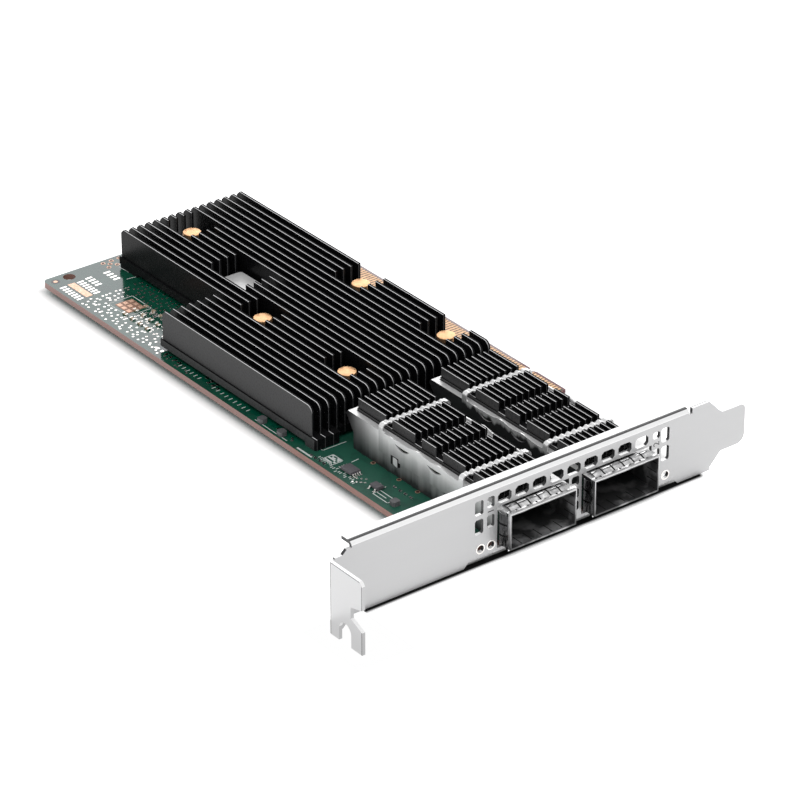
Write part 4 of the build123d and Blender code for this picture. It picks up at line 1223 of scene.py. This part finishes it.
@dataclass(frozen=True)
class FingerCollar:
    """The band round a port's mouth with bowed spring fingers that run back to the bracket."""

    number: int
    sheet: float = 0.2
    band: float = 0.8
    bulge: float = 0.45
    pitch: float = 2.9
    slit: float = 0.42
    slit_start: float = 0.48
    slit_height: float = 0.22
    top_count: int = 6
    side_count: int = 3
    dimple: Round = (0.28, 14)
    steps: int = 13
    bow_power: float = 1.5

    def fingers(
        self, middle: np.ndarray, reach: float, outward: Vector, length: float, count: int
    ) -> Shape:
        """Make the fingers of one side.

        Formula: a finger stands off its side by half the sheet plus the bulge times
        sin(pi t) ^ 1.5, t running from 0 to 1 between its two ends.

        Args:
            middle: The mouth's middle, at the front of the band.
            reach: From the middle to the side's inner face.
            outward: The side's outward direction.
            length: From the front of the band to the fingers' tips.
            count: How many fingers the side has.

        Returns:
            The fingers in place.
        """
        t = np.linspace(0, 1, self.steps)
        start = self.band - self.sheet
        rise = np.clip(np.sin(math.pi * t), 0, 1) ** self.bow_power
        path = np.column_stack([start + t * (length - start), self.sheet / 2 + self.bulge * rise])
        strip = bent_strip(path, self.sheet, self.pitch - self.slit)
        strips = repeated(strip, points_at(0.0, row_of(count, self.pitch), 0.0))
        return strips.turned(self.side_placing(middle, reach, outward))

    def side_placing(self, middle: np.ndarray, reach: float, outward: Vector) -> Matrix:
        """Lay local X along the port and local Z along a side's outward direction."""
        along = Vector((0, 1, 0))
        return placing(along, outward.cross(along), Vector(middle) + outward * reach)

    def slits(
        self, middle: np.ndarray, reach: float, outward: Vector, length: float, count: int
    ) -> Shape:
        """Make the strips of painted shade under the slits of one side, as the fingers are made."""
        strip = prism(rectangle(length - self.slit_start, self.slit), 0.0, self.slit_height)
        places = points_at((length + self.slit_start) / 2, row_of(count - 1, self.pitch), 0.0)
        return repeated(strip, places).turned(self.side_placing(middle, reach, outward))

    def build(self) -> None:
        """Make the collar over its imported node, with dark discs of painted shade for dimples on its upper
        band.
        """
        node = f"finger_collar_{self.number}"
        low, high = box_mm(node)
        middle = (low + high) / 2
        middle[1] = low[1]
        stand = self.bulge + self.sheet
        across, up = (high[0] - low[0]) / 2 - stand, (high[2] - low[2]) / 2 - stand
        length = float(high[1] - low[1])
        frame_lines = [rectangle(2 * (across + extra), 2 * (up + extra)) for extra in (self.sheet, 0.0)]
        ring_place = middle + (0.0, self.band / 2, 0.0)
        shapes = [cut_sheet(frame_lines, self.band).turned(placing((-1, 0, 0), (0, 0, 1), ring_place))]
        sides = (((0, 0, 1), up, self.top_count), ((0, 0, -1), up, self.top_count))
        sides += (((1, 0, 0), across, self.side_count), ((-1, 0, 0), across, self.side_count))
        gaps = []
        for outward, reach, count in sides:
            shapes.append(self.fingers(middle, float(reach), Vector(outward), length, count))
            gaps.append(self.slits(middle, float(reach), Vector(outward), length, count))
        make_piece(f"collar_slits_{self.number}", Shape.joined(gaps), PAINTED_SHADE)
        collar = make_piece(f"spring_collar_{self.number}", Shape.joined(shapes), COLLAR)
        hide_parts(node)
        # Painted shade: dark discs stand for the dimples.
        dimple = prism(circle(*self.dimple), 0.0, FILM)
        x = middle[0] + row_of(self.top_count, self.pitch)[::2]
        places = points_at(x, low[1] + self.band / 2, middle[2] + up + self.sheet)
        make_piece(f"collar_dimples_{self.number}", repeated(dimple, places), PAINTED_SHADE)


@dataclass(frozen=True)
class PortGroup:
    """One port: cage, collar, riding heatsink, clip and connector."""

    datum: Datum
    number: int
    fin_inset: float = 0.3
    fin_pitch: float = 1.8
    fin_thickness: float = 0.6
    wall: float = 0.4
    window: Place = (38.2, 4.0)
    window_size: Place = (2.9, 2.3)
    window_proud: float = 0.43
    latch_size: Place = (1.9, 1.9)
    latch_turn: float = 10.0
    latch_sheet: float = 0.15
    latch_shift: Place = (0.1, -0.35)
    slit: float = 0.24
    slit_pitch: float = 2.9
    slit_reach: float = 3.3
    slit_start: float = 0.5
    floor_slits: int = 5
    wall_slit_levels: tuple[float, ...] = (2.0, 4.4, 6.8)
    shade_levels: Place = (0.6, 8.4)
    shaded_sides: Place = (-2.0, -0.5)

    def latches(self) -> None:
        """A window of painted shade in each side of the cage, with a bent latch tab in it."""
        low, high = box_mm(f"port_cage_{self.number}")
        y, z = self.datum.face_y + self.window[0], self.datum.top_z + self.window[1]
        windows, tabs = [], []
        for side, x in ((-1, float(low[0])), (1, float(high[0]))):
            window = cut_sheet([rectangle(*self.window_size)], 2 * self.window_proud)
            windows.append(window.turned(standing((x, y, z))))
            lean = Matrix.Rotation(math.radians(side * self.latch_turn), 4, "Z")
            out, along = self.latch_shift
            place = Matrix.Translation((x + side * (self.window_proud + out), y + along, z))
            tab = cut_sheet([rectangle(*self.latch_size)], self.latch_sheet)
            tabs.append(tab.turned(place @ lean @ standing((0, 0, 0))))
        make_piece(f"latch_windows_{self.number}", Shape.joined(windows), PAINTED_SHADE)
        make_piece(f"latch_tabs_{self.number}", Shape.joined(tabs), PALE)

    def mouth_slits(self) -> None:
        """Slits of painted shade between the spring fingers inside the mouth, on its floor and right wall.
        """
        low, high = box_mm(f"port_cage_{self.number}")
        flat = prism(rectangle(self.slit, self.slit_reach), 0.0, FILM)
        y, level = low[1] + self.slit_start + self.slit_reach / 2, self.datum.top_z + self.wall
        x = (low[0] + high[0]) / 2 + row_of(self.floor_slits, self.slit_pitch)
        floor = repeated(flat, points_at(x, y, level))
        upright = flat.turned(Matrix.Rotation(-math.pi / 2, 4, "Y"))
        wall = repeated(upright, points_at(high[0] - self.wall, y, level + np.array(self.wall_slit_levels)))
        make_piece(f"mouth_slits_{self.number}", Shape.joined([floor, wall]), PAINTED_SHADE)

    def build(self) -> None:
        """Dress the port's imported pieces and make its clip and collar."""
        low = box_mm(f"riding_heatsink_{self.number}")[0]
        side = float(low[0]) + self.fin_inset
        fins = black_fins(f"riding_fins_{self.number}", side, self.fin_pitch)
        dress(f"riding_heatsink_{self.number}", fins)
        low, high = box_mm(f"port_cage_{self.number}")
        dark, bright = self.shade_levels
        sheet = CageFinish(
            f"cage_sheet_{self.number}", BRIGHT.colour, BRIGHT.second_colour, (0.34, 0.46), 0.45,
            grain=Grain.ALONG_Z, low=tuple(low), high=tuple(high), rear=float(high[1]),
            shade=(self.datum.top_z + dark, self.datum.top_z + bright),
            shaded_side=self.shaded_sides[self.number - 1],
        )
        dress(f"port_cage_{self.number}", sheet)
        dress(f"port_socket_{self.number}", MOULDED)
        SpringClip(self.number, self.fin_pitch, side + (self.fin_thickness + self.fin_pitch) / 2).build()
        FingerCollar(self.number).build()
        self.latches()
        self.mouth_slits()


@dataclass(frozen=True)
class Bracket:
    """The folded plate with its port numerals, lamps and screws."""

    datum: Datum
    numeral_height: float = 1.75
    height_share: float = 0.7
    numeral_depth: float = 0.01
    left_drop: float = 2.65
    numeral_places: tuple[Place, Place] = ((-2.67, 12.35), (2.19, 12.70))
    rims: tuple[Round, Round] = ((1.25, 28), (0.95, 28))
    rim_thickness: float = 0.08
    plate_margin: float = 3.0

    def numerals(self) -> None:
        """The plain numbers 1 and 2 beside the ports, turned to read upwards."""
        plate = box_mm("bracket")
        turn = Matrix(((0, -1, 0, 0), (0, 0, -1, 0), (1, 0, 0, 0), (0, 0, 0, 1)))
        for number, (aside, rise) in zip((1, 2), self.numeral_places):
            side = box_mm(f"port_cage_{number}")[number - 1][0]
            curve = bpy.data.curves.new(f"numeral_{number}", "FONT")
            curve.body = str(number)
            curve.size = self.numeral_height / self.height_share
            curve.extrude = self.numeral_depth
            shape = filled(curve)
            middle = Vector((shape.points.min(0) + shape.points.max(0)) / 2)
            level = plate[0][2] + self.left_drop + rise
            place = Matrix.Translation(Vector((side + aside, self.datum.face_y, level)))
            shape = shape.turned(place @ turn @ Matrix.Translation(-middle))
            make_piece(f"numeral_{number}", shape, MOULDED)

    def lamp_rims(self) -> None:
        """Bright rims round the lamps' holes."""
        solids = solids_of("status_lamps")
        middles = solids.mean(axis=1)
        places = points_at(middles[:, 0], self.datum.face_y, middles[:, 2])
        upright = Matrix.Rotation(math.pi / 2, 4, "X")
        rim = cut_sheet([circle(*rim) for rim in self.rims], self.rim_thickness).turned(upright)
        make_piece("lamp_rims", repeated(rim, places), TINNED)

    def build(self) -> None:
        """Dress the plate, the screws and the lamps."""
        low, high = box_mm("bracket")
        corners = corners_in(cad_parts["bracket"].data) / MM
        tab_top = float(corners[corners[:, 1] < self.datum.face_y - self.plate_margin, 2].max())
        plate = PlateFinish(
            "bracket_sheet", (0.97, 0.97, 0.97), (0.94, 0.94, 0.945), (0.34, 0.42), 0.35,
            grain=Grain.ALONG_X, face_y=self.datum.face_y, top_z=float(high[2]),
            tab_x=float(low[0]), tab_end=float(low[1]), tab_top=tab_top,
        )
        dress("bracket", plate)
        dress("bracket_screws", STEEL)
        dress("status_lamps", LAMP)
        self.numerals()
        self.lamp_rims()


@dataclass(frozen=True)
class LeadedChip:
    """A moulded chip with gull-wing leads along two sides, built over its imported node."""

    node: str
    lead_count: int
    lead_pitch: float
    lead_width: float
    turn: float = 0.0
    lead_thickness: float = 0.16
    side_slope: float = 0.12
    foot: float = 0.45
    body_share: float = 1.0
    standoff: float = 0.15
    body_gap: float = 0.30
    root: float = 0.34
    bend_reach: tuple[float, float, float, float] = (0.22, 0.30, 0.36, 0.44)
    bend_drop: Place = (0.08, 0.05)

    def placed(self, shape: Shape) -> Shape:
        """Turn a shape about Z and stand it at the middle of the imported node's foot."""
        low, high = box_mm(self.node)
        middle = Vector(((low[0] + high[0]) / 2, (low[1] + high[1]) / 2, low[2]))
        return shape.turned(Matrix.Translation(middle) @ Matrix.Rotation(math.radians(self.turn), 4, "Z"))

    def size(self) -> np.ndarray:
        """The node's size across the leads, along the rows, and up."""
        low, high = box_mm(self.node)
        size = high - low
        return size[[1, 0, 2]] if self.turn else size

    def body(self) -> None:
        """The package: a square loft that is widest half way up."""
        across, along, height = self.size()
        width = across - 2 * (self.foot + self.body_gap)
        levels = (self.standoff, height * self.body_share / 2, height * self.body_share)
        inset = np.array([self.side_slope, 0.0, self.side_slope])
        sizes = np.stack([width - 2 * inset, along - 2 * inset], -1)
        shape = loft(rectangle(1.0, 1.0)[None] * sizes[:, None], levels)
        piece = make_piece(f"{self.node}_body", self.placed(shape), PACKAGE)
        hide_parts(self.node)

    def leads(self) -> None:
        """Leads bent out, down and out again, one row on each side."""
        size = self.size()
        reach, middle = size[0] / 2, size[2] * self.body_share / 2
        start = reach - self.foot - self.root
        first, second, third, last = (start + bend for bend in self.bend_reach)
        upper, lower = self.bend_drop
        path = (
            (start, middle),
            (first, middle),
            (second, middle - upper),
            (third, self.lead_thickness + lower),
            (last, self.lead_thickness / 2),
            (reach, self.lead_thickness / 2),
        )
        right = bent_strip(path, self.lead_thickness, self.lead_width)
        left = bent_strip([(-x, z) for x, z in path], self.lead_thickness, self.lead_width)
        places = points_at(0.0, row_of(self.lead_count, self.lead_pitch), 0.0)
        shape = Shape.joined([repeated(right, places), repeated(left, places)])
        make_piece(f"{self.node}_leads", self.placed(shape), TINNED)

    def build(self) -> None:
        """Make the body and its leads."""
        self.body()
        self.leads()


@dataclass(frozen=True)
class ChipBank:
    """Small two-ended parts, each a body between two tinned ends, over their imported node."""

    node: str
    finish: Finish
    slot: str
    end_share: float = 0.22
    proud: float = 0.02
    height_share: float = 1.0

    def build(self) -> None:
        """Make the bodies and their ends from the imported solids' boxes."""
        solids = solids_of(self.node)
        width, length, height = solids[0, 1] - solids[0, 0]
        end, height = length * self.end_share, height * self.height_share
        base = feet_of(solids)
        lift = self.proud
        body = prism(rectangle(width - 2 * lift, length - 2 * lift), lift, height - lift)
        piece = make_piece(f"{self.node}_bodies", repeated(body, base), self.finish)
        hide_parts(self.node)
        cap = prism(rectangle(width, end), 0.0, height)
        shift = np.array([0.0, (length - end) / 2, 0.0])
        ends = Shape.joined([repeated(cap, base + shift), repeated(cap, base - shift)])
        make_piece(f"{self.node}_ends", ends, TINNED)


@dataclass(frozen=True)
class Studio:
    """The camera at the photograph's angle, the pale floor and the soft lights."""

    datum: Datum
    azimuth: float = -37.49
    elevation: float = 29.11
    aim: tuple[float, float, float] = (-49.88, -12.08, 14.24)
    distance: float = 960.0
    lens: float = 186.95
    sensor: float = 36.0
    clip_start: float = 0.01
    world_level: float = 0.62
    key_power: float = 3.0
    key_size: float = 0.9
    key_place: tuple[float, float, float] = (-0.35, -0.45, 0.95)
    back_power: float = 4.0
    back_size: tuple[float, float] = (1.3, 0.5)
    back_elevation: float = 25.0
    back_distance: float = 1.25
    card_elevation: float = 44.0
    card_height: float = 0.13
    floor_gap: float = 0.08
    tab_hole: tuple[float, float, float, float] = (-112.0, -96.0, -78.0, -57.5)
    glow: float = 0.85
    board_glow: tuple[float, float] = (0.0, 5.0)
    plate_glow: tuple[float, float] = (0.7, 2.6)
    # How far the painted contact shadow on the floor reaches from the plate's foot.
    contact_shadow_reach: tuple[float, float] = (0.5, 1.4)
    foot_ends: tuple[float, float] = (3.0, 14.0)
    foot_depth: float = 0.5
    floor_reach: float = 4000.0
    paper_mark: float = 900.0
    paper_roughness: float = 0.9
    paper_tones: tuple[Colour, Colour] = ((0.95, 0.95, 0.95), (0.97, 0.97, 0.97))
    # The tone of the painted contact shadow.
    contact_shadow_tone: Colour = (0.01, 0.01, 0.01)
    card_tones: tuple[Colour, Colour] = ((0.01, 0.01, 0.01), (0.012, 0.012, 0.012))
    card_width: float = 2.2
    card_distance: float = 1.0

    def camera(self) -> None:
        """Stand the camera on the line from the aim, at the two angles and the distance."""
        a, e = math.radians(self.azimuth), math.radians(self.elevation)
        back = Vector((math.sin(a) * math.cos(e), -math.cos(a) * math.cos(e), math.sin(e)))
        data = bpy.data.cameras.new("camera")
        data.lens = self.lens
        data.sensor_width = self.sensor
        data.clip_start = self.clip_start
        camera = put("camera", data)
        camera.location = (Vector(self.aim) + self.distance * back) * MM
        camera.rotation_mode = "QUATERNION"
        camera.rotation_quaternion = (-back).to_track_quat("-Z", "Y")
        bpy.context.scene.camera = camera

    def area(self, name: str, place: Vector, aim: Vector, size: tuple[float, float], power: float) -> None:
        """Hang one rectangular soft light at a place in metres, turned to the aim."""
        data = bpy.data.lights.new(name, "AREA")
        data.shape = "RECTANGLE"
        data.size, data.size_y = size
        data.energy = power
        light = put(name, data)
        light.location = place
        light.rotation_mode = "QUATERNION"
        light.rotation_quaternion = (aim - place).to_track_quat("-Z", "Y")
        light.visible_camera = False

    def far_place(self, elevation: float, distance: float) -> Vector:
        """A place behind the card, straight on from the camera, at an elevation in degrees."""
        a, e = math.radians(self.azimuth), math.radians(elevation)
        away = Vector((-math.sin(a) * math.cos(e), math.cos(a) * math.cos(e), math.sin(e)))
        return Vector(self.aim) * MM + away * distance

    def lights(self) -> None:
        """A key from the upper left and a long soft box behind the card."""
        aim = Vector(self.aim) * MM
        self.area("key", Vector(self.key_place), aim, (self.key_size, self.key_size), self.key_power)
        back = self.far_place(self.back_elevation, self.back_distance)
        self.area("back", back, aim, self.back_size, self.back_power)

    def dark_card(self) -> None:
        """A dark card over the soft box, which only reflections see."""
        place = self.far_place(self.card_elevation, self.card_distance)
        facing = (Vector(self.aim) * MM - place).to_track_quat("Z", "Y").to_matrix().to_4x4()
        x, y = rectangle(self.card_width, self.card_height).T
        turned = Shape(points_at(x, y, 0.0), [[0, 1, 2, 3]]).turned(Matrix.Translation(place) @ facing)
        mesh = bpy.data.meshes.new("dark_card")
        mesh.from_pydata(turned.points.tolist(), [], turned.faces)
        mesh.materials.append(Finish("card_black", *self.card_tones, (0.9, 1.0)).material())
        card = put("dark_card", mesh)
        card.visible_camera = False
        card.visible_diffuse = False
        card.visible_shadow = False
        card.visible_transmission = False

    def floor(self) -> None:
        """A wide pale floor just under the nuts, open below the bracket's tab."""
        level = float(box_mm("retainer_nuts")[0][2]) - self.floor_gap
        reach, (x_low, x_high, y_low, y_high) = self.floor_reach, self.tab_hole
        lines_x, lines_y = [-reach, x_low, x_high, reach], [-reach, y_low, y_high, reach]
        x, y = np.meshgrid(lines_x, lines_y, indexing="ij")
        sheet = lattice(np.stack([x, y, np.full(x.shape, level)], -1))
        hole = len(sheet.faces) // 2
        faces = sheet.faces[:hole] + sheet.faces[hole + 1:]
        mesh = bpy.data.meshes.new("floor")
        mesh.from_pydata((sheet.points * MM).tolist(), [], [face[::-1] for face in faces])
        mesh.materials.append(self.floor_white())
        put("floor", mesh)

    def floor_white(self) -> bpy.types.Material:
        """White paper that keeps its full shadow near the card and glows a little away from it.

        Formula: the distance outside a rectangle is the length of max(|p - middle| - half, 0),
        and the glow rises from 0 to its full strength over each rectangle's reach. The paper has
        a painted contact shadow where the plate's lower edge stands on it.
        """
        graph = Surface("floor_white")
        axes = graph.axes()
        plate_low, plate_high = box_mm("bracket")
        foot_low = (plate_low[0] + self.foot_ends[0], self.datum.face_y)
        foot_high = (plate_high[0] - self.foot_ends[1], self.datum.face_y + self.foot_depth)
        away = []
        for low, high in (box_mm("board"), (foot_low, foot_high)):
            outside = []
            for axis in (0, 1):
                shift = graph.less(axes[axis], float(low[axis] + high[axis]) / 2 * MM)
                past = graph.less(graph.maths("ABSOLUTE", shift), float(high[axis] - low[axis]) / 2 * MM)
                outside.append(graph.maths("POWER", graph.most(past, 0.0), 2.0))
            away.append(graph.maths("SQRT", graph.maths("ADD", *outside)))
        paper = graph.blend(graph.between(graph.noise(self.paper_mark)), *self.paper_tones)
        # Painted contact shadow along the plate's foot.
        clear = graph.ramp(away[1], *(reach * MM for reach in self.contact_shadow_reach))
        glows = [
            graph.ramp(distance, start * MM, end * MM, 0.0, self.glow)
            for distance, (start, end) in zip(away, (self.board_glow, self.plate_glow))
        ]
        graph.fill({
            "Base Color": graph.blend(clear, self.contact_shadow_tone, paper),
            "Roughness": self.paper_roughness,
            "Specular IOR Level": 0.0,
            "Emission Color": WHITE,
            "Emission Strength": graph.times(graph.seen(), graph.maths("MINIMUM", *glows)),
        })
        return graph.material

    def world(self) -> None:
        """An even white surround: white to the camera and in reflections, softer as light."""
        world = bpy.data.worlds.new("studio")
        bpy.context.scene.world = world
        world.use_nodes = True
        graph = Graph(world.node_tree)
        background = graph.nodes["Background"].inputs
        graph.feed(background["Color"], WHITE)
        graph.feed(background["Strength"], graph.ramp(graph.seen(), 0.0, 1.0, self.world_level, 1.0))

    def build(self) -> None:
        """Set the view transform and make the studio."""
        bpy.context.scene.view_settings.view_transform = "Standard"
        self.camera()
        self.lights()
        self.dark_card()
        self.floor()
        self.world()


def main() -> None:
    """Build every group in order."""
    logging.basicConfig(level=logging.INFO, format="%(name)s: %(message)s")
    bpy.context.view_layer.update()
    datum = Datum.read()
    BoardFace(datum).build()
    MainHeatsink(datum).build()
    for number in (1, 2):
        PortGroup(datum, number).build()
    Bracket(datum).build()
    LeadedChip("memory_chip", 4, 0.65, 0.34, turn=90.0, foot=0.75, body_share=0.68).build()
    LeadedChip("regulator_chip", 2, 1.95, 0.42, foot=0.6).build()
    ChipBank("ceramic_capacitors", CERAMIC, "ceramic", height_share=0.55).build()
    ChipBank("chip_resistors", GLAZE, "resistor_black").build()
    ChipBank("lower_capacitors", CERAMIC, "ceramic").build()
    dress("power_coils", FERRITE)
    Studio(datum).build()


if __name__ == "__main__":
    main()
